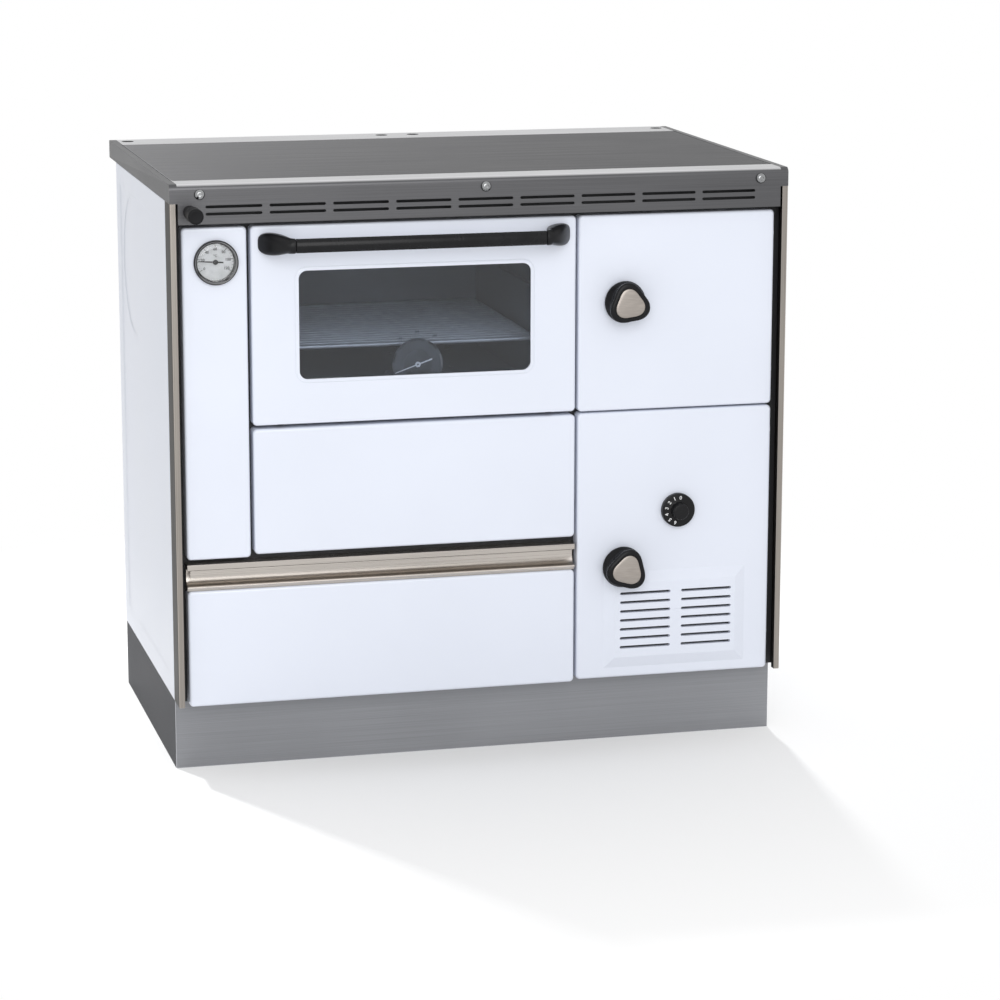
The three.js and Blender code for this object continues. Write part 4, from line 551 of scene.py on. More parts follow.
def cord_tree():
    """A cord laid in a rounded rectangle: behind a door as its seal, or round the plate as painted
    shade in its gap.
    """
    tree, given = growth("laid cord", Width=0.3, Height=0.3, Corner=0.01, Radius=0.0018,
                         Turn=(0, 0, 0), Centre=(0, 0, 0))
    path = bent_path(tree, given["Width"], given["Height"], given["Corner"], 360)
    laid = put(tree, "CurveToMesh", {
        "Curve": path, "Profile Curve": ring_of(tree, 10, given["Radius"])})
    return close_growth(tree, given, laid, {
        "Rotation": given["Turn"], "Translation": given["Centre"]})


CORD = cord_tree()
plate_low, plate_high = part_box("hob_plate")
PLATE_GAP = 0.001
# A shadow-black cord in the gap round the plate: painted shade.
show_grown(
    "hob_plate_gap_shade", CORD, "casing", "frame", Width=plate_high.x - plate_low.x + PLATE_GAP,
    Height=plate_high.y - plate_low.y + PLATE_GAP, Corner=0.0006, Radius=0.00048,
    Material=dark_gap, Centre=((plate_low.x + plate_high.x) / 2,
                               (plate_low.y + plate_high.y) / 2, plate_high.z - 0.0007))


def bridged(shape, rings, capped=True):
    """Fills the wall between each two rings of points, which may be single points, and the ends."""
    for one, two in zip(rings, rings[1:]):
        if len(one) == 1 and len(two) == 1:
            continue
        sides = max(len(one), len(two))
        for i in range(sides):
            j = (i + 1) % sides
            corners = [one[0]] if len(one) == 1 else [one[i], one[j]]
            corners += [two[0]] if len(two) == 1 else [two[j], two[i]]
            shape.faces.new(corners)
    if capped:
        shape.faces.new(rings[0])
        shape.faces.new(rings[-1])
    bmesh.ops.recalc_face_normals(shape, faces=shape.faces[:])


def turned(name, profile, centre, material, sides=96, press=None):
    """Mesh turned about an axis that points at the viewer. The profile gives radius and reach in
    front of the centre in millimetres; press scales the radius by angle and reach."""
    shape = bmesh.new()
    rings = []
    for radius, reach in profile:
        ring = []
        for i in range(1 if radius == 0 else sides):
            angle = math.tau * i / sides
            r = radius * (press(angle, reach, radius) if press else 1) / 1000
            ring.append(shape.verts.new(
                centre + Vector((r * math.cos(angle), -reach / 1000, r * math.sin(angle)))))
        rings.append(ring)
    bridged(shape, rings, capped=False)
    return poured(name, shape, material, sharp=38)


def show_turned(name, profile, centre, material, body, slot, *nodes, **shaping):
    show(name, turned(name, profile, centre, material, **shaping), body, slot, *nodes)


RECESS = 3.2  # mm: rings of a bolt that are smaller belong to its recess


def hexagon(angle, reach, radius):
    """Presses the small rings of a bolt's recess into a hexagon."""
    if radius > RECESS:
        return 1
    return math.cos(math.pi / 6) / math.cos((angle % (math.pi / 3)) - math.pi / 6)


chrome = surface(
    "bright chrome", BRUSHED, (0.30, 0.305, 0.31), 0.17, 0.01, 1.0,
    Stretch=(60, 60, 60), Specular_Tint=grey(0.7))
BOLT = [(0, -8), (3.9, -8), (3.9, 0.3), (7.2, 0.3), (7.5, 0.7), (7.4, 1.6), (7.0, 2.7), (6.3, 3.8),
        (5.3, 4.7), (4.2, 5.3), (3.4, 5.6), (3.1, 5.55), (2.9, 3.6), (0, 3.4)]
apron_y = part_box("hob_frame")[0].y
for word in ("left", "middle", "right"):
    low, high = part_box("rail_bolt_" + word)
    head = Vector(((low.x + high.x) / 2, apron_y, (low.z + high.z) / 2))
    show_turned("rail_bolt_turned_" + word, BOLT, head, chrome, "casing", "chrome",
                "rail_bolt_" + word, sides=72, press=hexagon)


# ------ damper
# A black moulded knob on a long steel rod that passes through the hob frame. It draws a cast
# plate back and forth over the short way to the flue.

def plastic_effect():
    """Moulded black plastic: fine matt grain, with patches polished by hands."""
    tree, given, place = effect(
        "moulded grain", Colour=(0.02, 0.02, 0.02, 1), Roughness=0.45, Grain=1600.0, Depth=0.2)
    grain = noise(tree, place["Object"], given["Grain"], 2)
    touch = noise(tree, place["Object"], 40, 3)
    colour = tinted(tree, given["Colour"], spread(tree, touch, 0.85, 1.25))
    rough = times(tree, given["Roughness"], spread(tree, touch, 0.85, 1.15))
    return close_effect(tree, given, colour, rough, grain, 0.0002)


def cast_effect():
    """Sand-cast or rolled iron: coarse grain and pits, with faint rust-brown patches."""
    tree, given, place = effect(
        "cast skin", Colour=(0.05, 0.05, 0.05, 1), Roughness=0.75, Grain=350.0, Depth=0.5)
    grain = noise(tree, place["Object"], given["Grain"], 5)
    wide = noise(tree, place["Object"], 14, 4)
    rust = ranged(tree, wide, 0.55, 0.75, 0.0, 0.35)
    dark = tinted(tree, given["Colour"], spread(tree, grain, 0.75, 1.3))
    colour = blended(tree, rust, dark, (0.075, 0.045, 0.03, 1))
    rough = times(tree, given["Roughness"], spread(tree, wide, 0.9, 1.15))
    return close_effect(tree, given, colour, rough, grain, 0.0006)


PLASTIC = plastic_effect()
CAST = cast_effect()
black_plastic = surface("black moulded plastic", PLASTIC, (0.008, 0.008, 0.009), 0.34, 0.12,
                        Specular_IOR_Level=0.2)
matt_plastic = surface("matt black plastic", PLASTIC, (0.007, 0.007, 0.008), 0.5, 0.3,
                       Specular_IOR_Level=0.15)
cast_iron = surface("cast iron", CAST, (0.038, 0.037, 0.037), 0.72, 0.5, 0.35)
plain_steel = surface("drawn steel", BRUSHED, (0.42, 0.42, 0.43), 0.34, 0.05, 1.0,
                      Stretch=(250, 250, 250))
KNOB_SEAT = Vector((-0.422, apron_y - 0.0003, 0.8115))
DAMPER_KNOB = [(0, 0), (8.9, 0), (9.25, 0.4), (9.25, 16.5), (9.5, 19), (10.2, 24), (10.8, 29),
               (11, 31), (11, 51.6), (10.7, 53), (10, 54.1), (8.8, 54.7), (7.5, 54.5), (0, 54.2)]
show_turned("damper_knob_turned", DAMPER_KNOB, KNOB_SEAT, matt_plastic, "damper", "plastic",
            "damper_knob")
refined("damper_rod", plain_steel, "steel", 0.0003)
dressed(cast_iron, "damper_slide")


# ------ narrow panel and gauge
# A pressed steel panel, enamelled white, and the boiler's dial thermometer clipped into it: a
# black case with a chrome ring, a printed plate, a pointer and a domed glass.
enamel = surface(
    "white enamel", PAINT, (0.80, 0.835, 0.925), 0.2, 0.035,
    Ripples=150, Dust=0.02, Coat_Weight=0.35, Coat_Roughness=0.08)
refined("narrow_panel", enamel, "enamel", 0)

gauge = joint_at["gauge_needle_turn"]
CASE = [(0, -20), (29.1, -20), (29.6, -19.5), (29.6, 0.2), (31.0, 0.2), (31.4, 0.6), (31.4, 4.9),
        (31.2, 5.7), (30.8, 6), (30.4, 5.9), (30.3, 5.5), (30.3, 1.5), (27.6, 1.5),
        (27.6, -5), (24.6, -5), (24.6, -18), (0, -18)]
show_turned("gauge_case_turned", CASE, gauge, black_plastic, "casing", "plastic", "gauge_case",
            sides=120)
ring_chrome = surface(
    "dulled chrome", BRUSHED, (0.21, 0.213, 0.218), 0.2, 0.02, 1.0,
    Stretch=(60, 60, 60), Specular_Tint=grey(0.7))
RING = [(30.2, 1.6), (30.2, 5.3), (29.9, 5.65), (29.5, 5.5), (26.9, 2.9), (26.75, 2.6),
        (26.8, 1.6), (30.2, 1.6)]
show_turned("gauge_ring", RING, gauge, ring_chrome, "casing", "chrome", sides=120)


def printed_plate(name, colour):
    """A printed metal plate: even satin colour with a faint grain."""
    return surface(name, BRUSHED, colour, 0.42, 0.04, 0.15, Stretch=(120, 120, 120))


def printing(name, colour, roughness):
    """Printing ink, without any grain."""
    return surface(name, PLASTIC, colour, roughness, 0.0)


PRINT = 0.00006  # half the thickness of printed figures and strokes
dial_print = printed_plate("dial plate", (0.40, 0.405, 0.42))
ink = printing("black ink", (0.02, 0.02, 0.022), 0.6)
PLATE = [(0, -4.7), (27.3, -4.7), (27.3, -3.7), (1, -3.7), (1, -1.2), (0, -1.2)]
show_turned("gauge_plate", PLATE, gauge, dial_print, "casing", "dial", "gauge_face")
SHADOW_RING = [(25.3, -3.69), (25.3, -3.3), (27.2, -3.3), (27.2, -3.69), (25.3, -3.69)]
show_turned("gauge_shadow_ring", SHADOW_RING, gauge, ink, "casing", "dial")


def marks_tree():
    """Printed strokes on a dial: each points at the middle, at even steps along an arc."""
    tree, given = growth("scale marks", Count=10, Radius=0.02, Length=0.002, Width=0.0004,
                         Thickness=2 * PRINT, Start=0.0, Sweep=6.0, Centre=(0, 0, 0))
    stroke = put(tree, "MeshCube", {"Size": vector_of(
        tree, X=given["Length"], Y=given["Width"], Z=given["Thickness"])})
    gaps = maths(tree, "SUBTRACT", given["Count"], 1.0)
    step = maths(tree, "DIVIDE", given["Sweep"], gaps)
    angle = maths(tree, "ADD", times(tree, put(tree, "InputIndex"), step), given["Start"])
    out = put(tree, "Transform", {
        "Geometry": stroke, "Translation": vector_of(tree, X=given["Radius"])})
    fan = put(tree, "InstanceOnPoints", {
        "Points": in_place(tree, given["Count"]), "Instance": out,
        "Rotation": vector_of(tree, Z=angle)})
    return close_growth(tree, given, fan, {
        "Rotation": (QUARTER, 0, 0), "Translation": given["Centre"]})


MARKS = marks_tree()


def marks(name, count, start, sweep, radius, length, width, centre, material, body):
    """Shows strokes on a dial; start and sweep are in degrees."""
    show_grown(name, MARKS, body, "dial", Count=count, Radius=radius, Length=length, Width=width,
               Centre=centre, Start=math.radians(start), Sweep=math.radians(sweep),
               Material=material)


def figures(name, words, place, radius, start, step, size, bold, material, body, slot="dial",
            upright=True):
    """Shows figures set round a dial, in front of a place on its plate; start and step are in
    degrees, and bold is what is added to the thickness of a stroke."""
    shape = bmesh.new()
    for i, word in enumerate(words.split()):
        curve = bpy.data.curves.new(name, "FONT")
        curve.body = word
        curve.size = size
        curve.align_x = "CENTER"
        curve.align_y = "CENTER"
        curve.extrude = PRINT
        curve.offset = bold
        curve.resolution_u = 3
        text = settled(drafted(name, curve))
        angle = math.radians(start + i * step)
        lean = 0 if upright else angle - QUARTER
        spot = place + Vector((radius * math.cos(angle), 0, radius * math.sin(angle)))
        text.transform(Matrix.Translation(spot) @ Matrix.Rotation(QUARTER, 4, "X")
                       @ Matrix.Rotation(lean, 4, "Z"))
        shape.from_mesh(text)
        bpy.data.meshes.remove(text)
    for face in shape.faces:
        face.material_index = 0
    show(name, poured(name, shape, material), body, slot)


plate_front = gauge + Vector((0, 0.0037 - PRINT, 0))
marks("gauge_marks_long", 7, 210, -240, 0.0230, 0.0038, 0.0008, plate_front, ink, "casing")
marks("gauge_marks_short", 25, 210, -240, 0.0240, 0.0019, 0.0005, plate_front, ink, "casing")
figures("gauge_figures", "0 20 40 60 80 100 120", plate_front, 0.0179, 210, -40, 0.0054, 0.00016,
        ink, "casing")
figures("gauge_unit", "°C", plate_front, 0.0085, 90, 0, 0.005, 0.00012, ink, "casing")
refined("gauge_needle", black_plastic, "plastic", 0.0001)
HUB = [(0, -1.75), (3.3, -1.75), (3.4, -1.65), (3.4, -0.6), (3.1, -0.2), (0, -0.1)]
show_turned("gauge_hub", HUB, gauge, black_plastic, "gauge_needle", "plastic", sides=48)


def glass_material(name, colour):
    """Clear glass; colour gives how much it holds back, and the gloss has faint smears."""
    material, tree, shader, spot = bare_material(name)
    smear = noise(tree, spot, 9, 4)
    tree.links.new(spread(tree, smear, 0.0, 0.03), shader.inputs["Roughness"])
    shader.inputs["Base Color"].default_value = colour
    shader.inputs["Transmission Weight"].default_value = 1.0
    shader.inputs["IOR"].default_value = 1.45
    clear = put(tree, "BsdfTransparent", {"Color": colour})
    both = put(tree, "MixShader", {
        0: add_node(tree, "LightPath").outputs["Is Shadow Ray"],
        1: shader.outputs[0], 2: clear})
    tree.links.new(both, tree.nodes["Material Output"].inputs[0])
    return material


clear_glass = glass_material("gauge glass", (0.97, 0.98, 0.98, 1))
GLASS = [(0, 1.8), (26.6, 1.8), (26.7, 2.5), (26.4, 2.6), (20, 3.1), (10, 3.5), (0, 3.6)]
show_turned("gauge_glass_turned", GLASS, gauge, clear_glass, "casing", "glass", "gauge_glass")


# ------ oven door
# A pressed and enamelled panel with a raised bead round its window, a black liner behind it and
# heat-resistant glass clamped between. It hinges along its bottom edge on two steel lugs.
refined("oven_door_panel", enamel, "enamel", 0)
refined("oven_door_liner", stove_paint, "frame", 0.0005)
door_glass = glass_material("oven door glass", (0.56, 0.60, 0.66, 1))
refined("oven_door_glass", door_glass, "glass", 0.0004)
refined("oven_hinge_left", plain_steel, "steel", 0.0003)
refined("oven_hinge_right", plain_steel, "steel", 0.0003)
rope = surface("glass-fibre rope", CAST, (0.16, 0.155, 0.145), 0.9, 0.9, Grain=1400)
ROPE = 0.0018  # its radius
ROOM = 0.014  # how much wider than the mouth its rectangle is


def seal_on(door, hole):
    """A rope seal behind a door's panel, just outside the mouth that it closes."""
    x0, x1, z0, z1 = hole
    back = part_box(door + "_panel")[1].y
    mesh = grown(door + "_seal", CORD, Width=x1 - x0 + ROOM, Height=z1 - z0 + ROOM, Corner=0.012,
                 Radius=ROPE, Turn=(QUARTER, 0, 0), Material=rope,
                 Centre=((x0 + x1) / 2, back + ROPE + 0.0001, (z0 + z1) / 2))
    mesh.shade_smooth()
    show(door + "_seal", mesh, door, "frame")


seal_on("oven_door", (-0.296, 0.096, 0.535, 0.775))


# ------ oven door handle
# A thick oval tube, black coated, pushed at both ends into moulded feet that sweep back to the
# door and spread into rounded pads.
FOOT_SIDES, BAR_SIDES = 40, 64


def foot_mesh(name, side, joint, material):
    """One foot, lofted along X from the bar's end to the tip of its pad. Each station gives the
    distance from the bar's end, the front, the back and half the height, in millimetres."""
    level = (bar_low.z + bar_high.z) / 2
    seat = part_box("oven_handle_foot_left")[1].y * 1000
    front = bar_low.y * 1000
    stations = [
        (0.0, front - 0.2, front + 14.2, 10.2), (0.5, front - 0.5, front + 14.5, 10.5),
        (3, front - 0.6, front + 16, 10.7), (6, front - 0.4, front + 20, 10.9),
        (8, front + 0.1, front + 28, 11.3), (9.5, front + 0.6, seat - 3.5, 11.8),
        (11.5, front + 1.4, seat - 0.8, 12.3), (14, front + 2.8, seat, 12.9),
        (18, front + 5.6, seat, 13.9), (22, front + 9.2, seat, 14.8),
        (26, front + 13.6, seat, 15.3), (30, front + 18.8, seat, 15.5),
        (34, front + 24.8, seat, 15.3), (38, front + 31.6, seat, 14.4),
        (41, front + 37.2, seat, 12.9), (43.5, front + 42, seat, 10.7),
        (45, front + 45.2, seat, 8.1), (45.7, seat - 1.2, seat, 5.0)]
    shape = bmesh.new()
    rings = []
    for along, near, far, half in stations:
        ring = []
        flat = min(max((along - 8) / 8, 0), 1)
        for i in range(FOOT_SIDES):
            angle = math.tau * i / FOOT_SIDES
            across, up = math.cos(angle), math.sin(angle)
            power = 2 / (2.2 + (3.4 * flat if across > 0 else 0))
            across = math.copysign(abs(across) ** power, across)
            up = math.copysign(abs(up) ** power, up)
            y = (near + far) / 2 + across * (far - near) / 2
            ring.append(shape.verts.new(
                (joint + side * along / 1000, y / 1000, level + up * half / 1000)))
        rings.append(ring)
    bridged(shape, rings)
    draft = drafted(name, poured(name, shape, material, sharp=60))
    rounder = draft.modifiers.new("rounder", "SUBSURF")
    rounder.levels = rounder.render_levels = 1
    return settled(draft)


def oval_bar(name, material):
    """The handle's tube: an oval section with its ends a little rounded."""
    middle = (bar_low + bar_high) / 2
    half = (bar_high - bar_low) / 2
    shape = bmesh.new()
    rings = []
    for along, scale in ((-1, 0.9), (-0.997, 0.97), (-0.99, 1), (0.99, 1), (0.997, 0.97), (1, 0.9)):
        ring = []
        for i in range(BAR_SIDES):
            angle = math.tau * i / BAR_SIDES
            ring.append(shape.verts.new((
                middle.x + along * half.x, middle.y + scale * half.y * math.cos(angle),
                middle.z + scale * half.z * math.sin(angle))))
        rings.append(ring)
    bridged(shape, rings)
    return poured(name, shape, material, sharp=50)


bar_low, bar_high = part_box("oven_handle_bar")
bar_coat = surface("black coated tube", PLASTIC, (0.007, 0.007, 0.008), 0.26, 0.06,
                   Specular_IOR_Level=0.22)
show("oven_handle_tube", oval_bar("oven_handle_tube", bar_coat), "oven_door", "plastic",
     "oven_handle_bar")
for side, word, joint in ((-1, "left", bar_low.x - 0.0003), (1, "right", bar_high.x + 0.0003)):
    name = "oven_handle_pad_" + word
    show(name, foot_mesh(name, side, joint, black_plastic), "oven_door", "plastic",
         "oven_handle_foot_" + word)


# ------ oven thermometer
# A dark printed plate on a foot behind the glass, of which the window shows the upper part, with
# a light pointer on a ring-shaped hub. Its finest strokes and its figures are on the glass.
meter = joint_at["oven_meter_needle_turn"]
refined("oven_meter", printed_plate("smoked dial plate", (0.095, 0.1, 0.108)), "dial", 0.0002)
meter_front = meter + Vector((0, -PRINT, 0))
glass_back = Vector((meter.x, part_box("oven_door_glass")[1].y + 0.0001, meter.z))
pale_ink = printing("pale ink", (0.22, 0.22, 0.23), 0.6)
DISC = [(0, 0.05), (20.4, 0.05), (20.6, 0.1), (20.6, 0.45), (20.2, 0.6), (0, 0.6)]
inner_print = printed_plate("dial centre", (0.06, 0.063, 0.068))
show_turned("oven_meter_centre", DISC, meter, inner_print, "oven_door", "dial")
for word, count, start, sweep, radius, length, width, place, colour in (
        ("first_block", 14, 172, -20, 0.0352, 0.0028, 0.0012, meter_front, ink),
        ("squares", 4, 143, -21, 0.0352, 0.0028, 0.0025, meter_front, ink),
        ("wide_squares", 4, 104, -26, 0.0352, 0.0028, 0.0036, meter_front, ink),
        ("last_block", 16, 62, -24, 0.0352, 0.0028, 0.0012, meter_front, ink),
        ("pale_arc", 18, 22, -27, 0.0352, 0.0022, 0.0012, meter_front, pale_ink),
        ("fine", 14, 185, -65, 0.0425, 0.0026, 0.0004, glass_back, ink)):
    marks("oven_meter_marks_" + word, count, start, sweep, radius, length, width, place, colour,
          "oven_door")
figures("oven_meter_figures", "50 100 150 200 250 300 350", glass_back, 0.0475, 190, -32.5, 0.0046,
        0.0, ink, "oven_door")
pointer_paint = printing("light pointer paint", (0.85, 0.85, 0.86), 0.4)
refined("oven_meter_needle", pointer_paint, "dial", 0.0001)


# ------ oven muffle and rack
# A box of sheet steel inside, coated with dark grey enamel flecked with white. The rack is
# welded from chromed wire and slides on the muffle's rails.

def flecked_material():
    """Dark vitreous enamel with the small white flecks of oven linings."""
    material, tree, shader, spot = bare_material("flecked oven enamel")
    cells = add_node(tree, "TexVoronoi", {"Vector": spot, "Scale": 260, "Randomness": 1})
    fleck = ranged(tree, cells.outputs["Distance"], 0.12, 0.2, 1.0, 0.0)
    wide = noise(tree, spot, 6, 3)
    base = tinted(tree, (0.16, 0.175, 0.195), spread(tree, wide, 0.85, 1.15))
    colour = blended(tree, times(tree, fleck, 0.25), base, (0.5, 0.5, 0.5, 1))
    tree.links.new(colour, shader.inputs["Base Color"])
    tree.links.new(spread(tree, wide, 0.3, 0.42), shader.inputs["Roughness"])
    return material


def rack_tree():
    """A rack: a bent frame of thicker wire with cross wires at even steps on top of it."""
    tree, given = growth("wire rack", Width=0.38, Depth=0.37, Corner=0.006, Bar=0.003,
                         Wire=0.0019, Count=17, Pitch=0.02, Centre=(0, 0, 0))
    path = bent_path(tree, given["Width"], given["Depth"], given["Corner"], 240)
    border = put(tree, "CurveToMesh", {
        "Curve": path, "Profile Curve": ring_of(tree, 16, given["Bar"])})
    wire = put(tree, "MeshCylinder", {
        "Vertices": 12, "Radius": given["Wire"], "Depth": given["Width"]})
    count = maths(tree, "SUBTRACT", given["Count"], 1.0)
    span = times(tree, times(tree, count, given["Pitch"]), -0.5)
    line = put(tree, "MeshLine", {
        "Count": given["Count"], "Start Location": vector_of(tree, Y=span, Z=given["Wire"]),
        "Offset": vector_of(tree, Y=given["Pitch"])})
    cross = put(tree, "InstanceOnPoints", {
        "Points": line, "Instance": wire, "Rotation": (0, QUARTER, 0)})
    return close_growth(tree, given, joined(tree, border, cross), {"Translation": given["Centre"]})


dressed(flecked_material(), "oven_muffle")
rack_low, rack_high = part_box("oven_rack")
rack_middle = (rack_low + rack_high) / 2
rack_wire = surface("chromed wire", BRUSHED, (0.60, 0.61, 0.63), 0.45, 0.0, 0.6,
                    Stretch=(80, 80, 80))
RACK_BAR = 0.003
rack_mesh = grown(
    "oven_rack_wires", rack_tree(), Width=rack_high.x - rack_low.x - 2 * RACK_BAR,
    Depth=rack_high.y - rack_low.y - 2 * RACK_BAR, Bar=RACK_BAR, Count=18, Pitch=0.02,
    Material=rack_wire, Centre=(rack_middle.x, rack_middle.y, rack_low.z + RACK_BAR))
rack_mesh.shade_smooth()
rack_mesh.set_sharp_from_angle(angle=math.radians(50))
show("oven_rack_wires", rack_mesh, "oven_rack", "chrome", "oven_rack")


# ------ lower panel, strip and drawer
# The fixed panel is enamelled like the doors. The strip and the drawer's scooped grip are drawn
# from brushed stainless steel. The box is bent from zinc-coated sheet and runs on two rails.
# The bevelled edges of the strip and grip are painted lighter: a painted highlight.
grip_steel = surface("brushed stainless", BRUSHED, (0.49, 0.455, 0.42), 0.3, 0.12, 0.95,
                     Stretch=(4, 900, 900), Edges=1.4)
refined("lower_panel", enamel, "enamel", 0)
refined("strip_rail", grip_steel, "steel", 0.0003)
refined("drawer_grip", grip_steel, "steel", 0.0003)
refined("drawer_front", enamel, "enamel", 0)
dressed(zinc, "drawer_box", "drawer_runner_left", "drawer_runner_right")


# ------ fire door and ash door
# Two enamelled doors with iron liners, hung on pins at the right. The ash door has a raised
# field with air slots, a flap behind them and the thermostat's dial.
refined("fire_door_panel", enamel, "enamel", 0)
ash_low, ash_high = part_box("ash_door_panel")
refined("ash_door_panel", enamel, "enamel", 0, crisp=(
    ash_low.x + 0.03, ash_high.x - 0.03, ash_low.z + 0.012, ash_low.z + 0.18))
dressed(cast_iron, "fire_door_liner", "ash_door_liner", "air_flap")
for door in ("fire", "ash"):
    for place in ("lower", "upper"):
        refined(f"{door}_hinge_{place}", plain_steel, "steel", 0.0003)
    refined(door + "_latch", plain_steel, "steel", 0.0003)
seal_on("fire_door", (0.197, 0.387, 0.5401, 0.7624))
seal_on("ash_door", (0.197, 0.387, 0.1279, 0.470))


# ------ latch knobs
# Turned black knobs that swell from a round foot into three soft lobes, each with a satin nickel
# cap let into its front.
KNOB = [(0, 0), (8, 0), (8, 3.6), (28.6, 3.6), (29.9, 3.9), (30.4, 4.5), (30.5, 5.3), (30.3, 6.4),
        (29.6, 7.9), (28.4, 9.6), (27.1, 11.3), (26.1, 12.9), (25.6, 14.3), (25.5, 15.7),
        (25.7, 17.5), (26.2, 19.6), (26.9, 21.9), (27.6, 24.1), (28.1, 26.2), (28.3, 28.0),
        (28.1, 29.4), (27.5, 30.4), (26.4, 31.2), (24.6, 31.7), (22.6, 31.9), (21.4, 31.8),
        (21.0, 31.4), (20.9, 30.3), (0, 30.3)]
CAP = [(0, 30.65), (20.6, 30.65), (20.6, 31.2), (20.3, 31.7), (19.5, 32.0), (16, 32.3), (9, 32.65),
       (0, 32.8)]
knob_plastic = surface("polished black thermoset", PLASTIC, (0.007, 0.007, 0.008), 0.3, 0.03,
                       Grain=500, Specular_IOR_Level=0.18)
cap_nickel = surface("satin nickel", BRUSHED, (0.36, 0.325, 0.295), 0.34, 0.04, 0.75,
                     Stretch=(60, 60, 900))
LOBES, LOBE_SHARE = 3, 0.115  # how many, and how much of the radius each adds
LOBE_FROM, LOBE_OVER = 3, 20  # mm from the door: where they begin, and how long they take to grow


def lobed(turn):
    """Presses a round knob into lobes, more with the distance from the door."""
    def press(angle, reach, radius):
        share = min(max((reach - LOBE_FROM) / LOBE_OVER, 0), 1)
        share = share * share * (3 - 2 * share)
        return 1 + LOBE_SHARE * share * math.cos(LOBES * (angle - math.radians(turn)))
    return press


OFF_DOOR = Vector((0, -0.0003, 0))
for door, turn in (("fire", 98), ("ash", 74)):
    seat = joint_at[door + "_latch_turn"] + OFF_DOOR
    show_turned(door + "_knob_turned", KNOB, seat, knob_plastic, door + "_latch", "plastic",
                door + "_knob", sides=144, press=lobed(turn))
    show_turned(door + "_cap_turned", CAP, seat, cap_nickel, door + "_latch", "nickel",
                door + "_knob_cap", sides=144, press=lobed(turn))


# ------ thermostat dial
# A black moulded dial on the ash door, with white figures round its left side and a fluted grip
# in the middle.
DIAL_PROFILE = [(0, 0), (24.3, 0), (24.8, 0.5), (24.8, 7.3), (24.6, 8.2), (24.0, 8.8), (23.0, 9.0),
                (13.6, 9.0), (12.9, 9.5), (12.5, 10.6), (12.2, 19.4), (11.8, 20.8), (10.8, 21.7),
                (9.6, 22), (0, 21.6)]
FLUTES, FLUTE_SHARE = 12, 0.05  # how many, and how much of the radius each takes


def fluted(angle, reach, radius):
    """Shallow flutes round the grip."""
    if reach < 9.4 or radius < 9:
        return 1
    return 1 - FLUTE_SHARE * (0.5 + 0.5 * math.cos(FLUTES * angle)) ** 2


dial_seat = joint_at["thermostat_turn"] + OFF_DOOR
show_turned("thermostat_dial_turned", DIAL_PROFILE, dial_seat, black_plastic,
            "thermostat_dial", "plastic", "thermostat_dial", sides=144, press=fluted)
white_ink = printing("white ink", (0.72, 0.72, 0.72), 0.5)
dial_front = dial_seat + Vector((0, -0.009 - PRINT, 0))
figures("thermostat_figures", "0 1 2 3 4 5 6", dial_front, 0.0186, 82, 28.5, 0.0074, 0.0002,
        white_ink, "thermostat_dial", "plastic", upright=False)


# ------ fire side
# The boiler is welded from plate round three sides of the fire, the grate is cast, and the ash
# pan is folded from sheet.
boiler_plate = surface("boiler plate", CAST, (0.045, 0.042, 0.04), 0.8, 0.35, 0.3, Grain=180)
dressed(boiler_plate, "boiler")
dressed(cast_iron, "grate")
dressed(zinc, "ash_pan")


# ------ smoke box and flue collar
# Thin iron sheet carries the smoke up behind the oven, and a cast collar takes the flue pipe.
# Two screws hold the collar to the back.
dressed(boiler_plate, "smoke_box")
flue_low, flue_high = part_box("flue_collar")
flue_x, flue_z = (flue_low.x + flue_high.x) / 2, (flue_low.z + flue_high.z) / 2
refined("flue_collar", cast_iron, "iron", 0.0008)
screw_row("collar_screws", 2, (flue_x - 0.082, back_y + 0.003, flue_z), (0.164, 0, 0), "iron")


# ------ floor, light and camera
# A pale studio floor that fades to white, soft light from all round and a broad lamp at the
# front. Two small high lamps behind throw the long shadow forward over the floor, and one more
# gives the hob plate its shading.

def seen_plainly(tree):
    """One where the camera looks, straight, in a mirror or through glass; zero for other rays."""
    path = add_node(tree, "LightPath").outputs
    seen = maths(tree, "ADD", path["Is Camera Ray"], path["Is Glossy Ray"])
    return maths(tree, "ADD", seen, path["Is Transmission Ray"], use_clamp=True)


FLOOR_TONE, BOUNCE_TONE = 0.86, 0.69  # what is seen, and what the floor throws back at things


def floor_material():
    """White floor: it takes shadows near the cooker and melts into white further off."""
    material = bpy.data.materials.new("studio floor")
    material.use_nodes = True
    tree = material.node_tree
    tree.nodes.clear()
    spot = add_node(tree, "TexCoord").outputs["Object"]
    away = add_node(tree, "VectorMath", {0: spot}, operation="LENGTH").outputs["Value"]
    fade = ranged(tree, away, 0.3, 1.35, 0.3, 1.0)
    seen = seen_plainly(tree)
    tone = blended(tree, seen, grey(BOUNCE_TONE), grey(FLOOR_TONE))
    mix = put(tree, "MixShader", {
        0: times(tree, fade, seen), 1: put(tree, "BsdfDiffuse", {"Color": tone}),
        2: put(tree, "Emission", {"Color": (1, 1, 1, 1), "Strength": 1.0})})
    tree.links.new(mix, tree.nodes.new("ShaderNodeOutputMaterial").inputs[0])
    return material


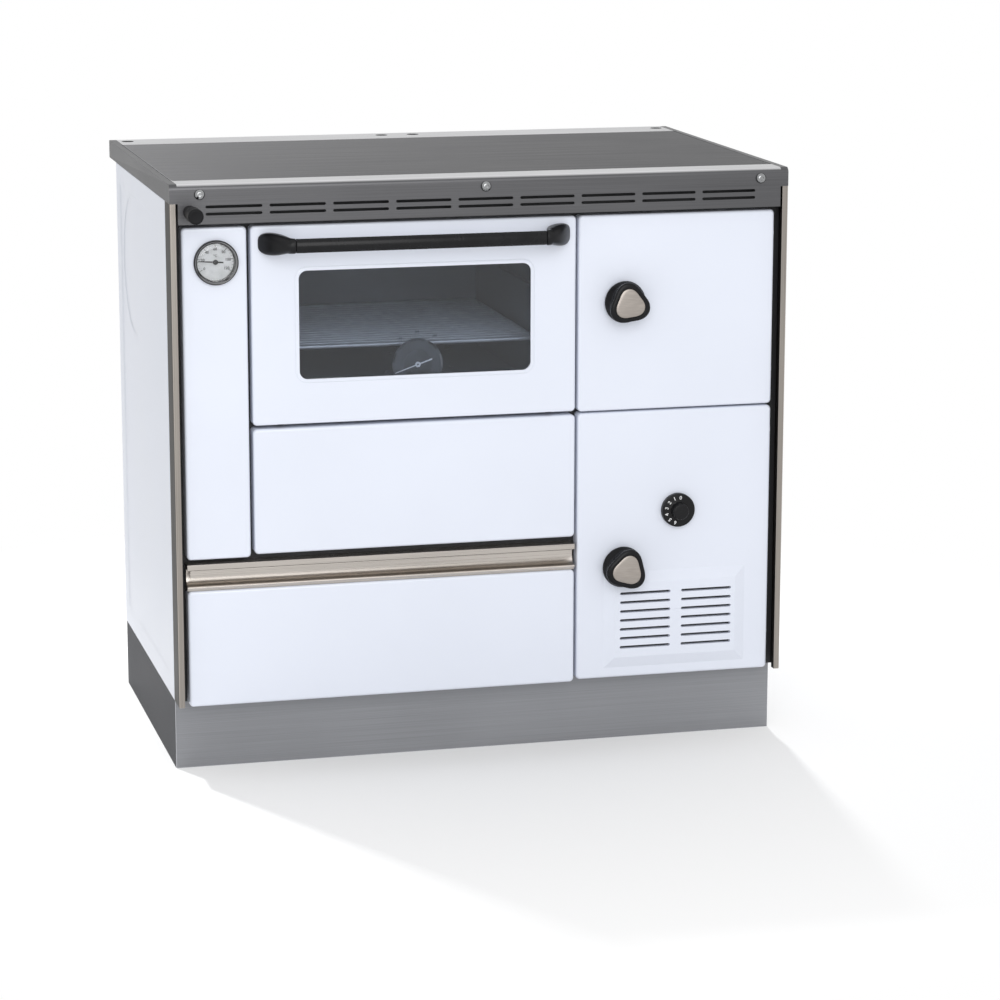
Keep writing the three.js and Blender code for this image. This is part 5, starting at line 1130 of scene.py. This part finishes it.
floor_shape = bmesh.new()
bmesh.ops.create_grid(floor_shape, x_segments=1, y_segments=1, size=7)
floor = bpy.data.objects.new("floor", poured("floor", floor_shape, floor_material()))
scene.collection.objects.link(floor)


def studio_world():
    """Soft light from every side; the camera and mirrors see plain white."""
    world = bpy.data.worlds.new("studio")
    scene.world = world
    world.use_nodes = True
    tree = world.node_tree
    tree.nodes.clear()
    soft, white = (put(tree, "Background", {"Color": colour, "Strength": strength})
                   for colour, strength in (((0.97, 0.98, 1, 1), 0.645), ((1, 1, 1, 1), 1.0)))
    mix = put(tree, "MixShader", {0: seen_plainly(tree), 1: soft, 2: white})
    tree.links.new(mix, tree.nodes.new("ShaderNodeOutputWorld").inputs[0])


def lamp(name, place, target, size, power, only=None):
    """A square soft lamp aimed at a point, which may light one object only."""
    data = bpy.data.lights.new(name, "AREA")
    data.size = size
    data.energy = power
    light = bpy.data.objects.new(name, data)
    scene.collection.objects.link(light)
    light.location = place
    aim = Vector(target) - Vector(place)
    light.rotation_euler = aim.to_track_quat("-Z", "Y").to_euler()
    if only:
        lit = bpy.data.collections.new(name + " lights")
        lit.objects.link(only)
        light.light_linking.receiver_collection = lit


studio_world()
lamp("front lamp", (-0.6, -3.8, 1.9), (0, 0, 0.4), 2.6, 64)
lamp("back lamp left", (-1.16, 1.22, 2.35), (0, -0.2, 0.2), 0.12, 62, floor)
lamp("back lamp right", (0.57, 1.15, 2.3), (0, -0.2, 0.2), 0.12, 38, floor)
lamp("hob lamp", (-0.9, 1.0, 1.9), (-0.3, 0.25, 0.85), 0.6, 66, hob_plate_piece)

CAMERA_AT = (-1.14807, -4.83364, 1.39965)
TURN, PITCH, ROLL = -14.375, 77.80, 0.066  # degrees
camera_data = bpy.data.cameras.new("camera")
camera_data.sensor_width = 36
camera_data.lens = 120.4
camera = bpy.data.objects.new("camera", camera_data)
scene.collection.objects.link(camera)
camera.matrix_world = (
    Matrix.Translation(CAMERA_AT) @ Matrix.Rotation(math.radians(TURN), 4, "Z")
    @ Matrix.Rotation(math.radians(PITCH), 4, "X") @ Matrix.Rotation(math.radians(ROLL), 4, "Z"))
scene.camera = camera
scene.view_settings.view_transform = "Standard"
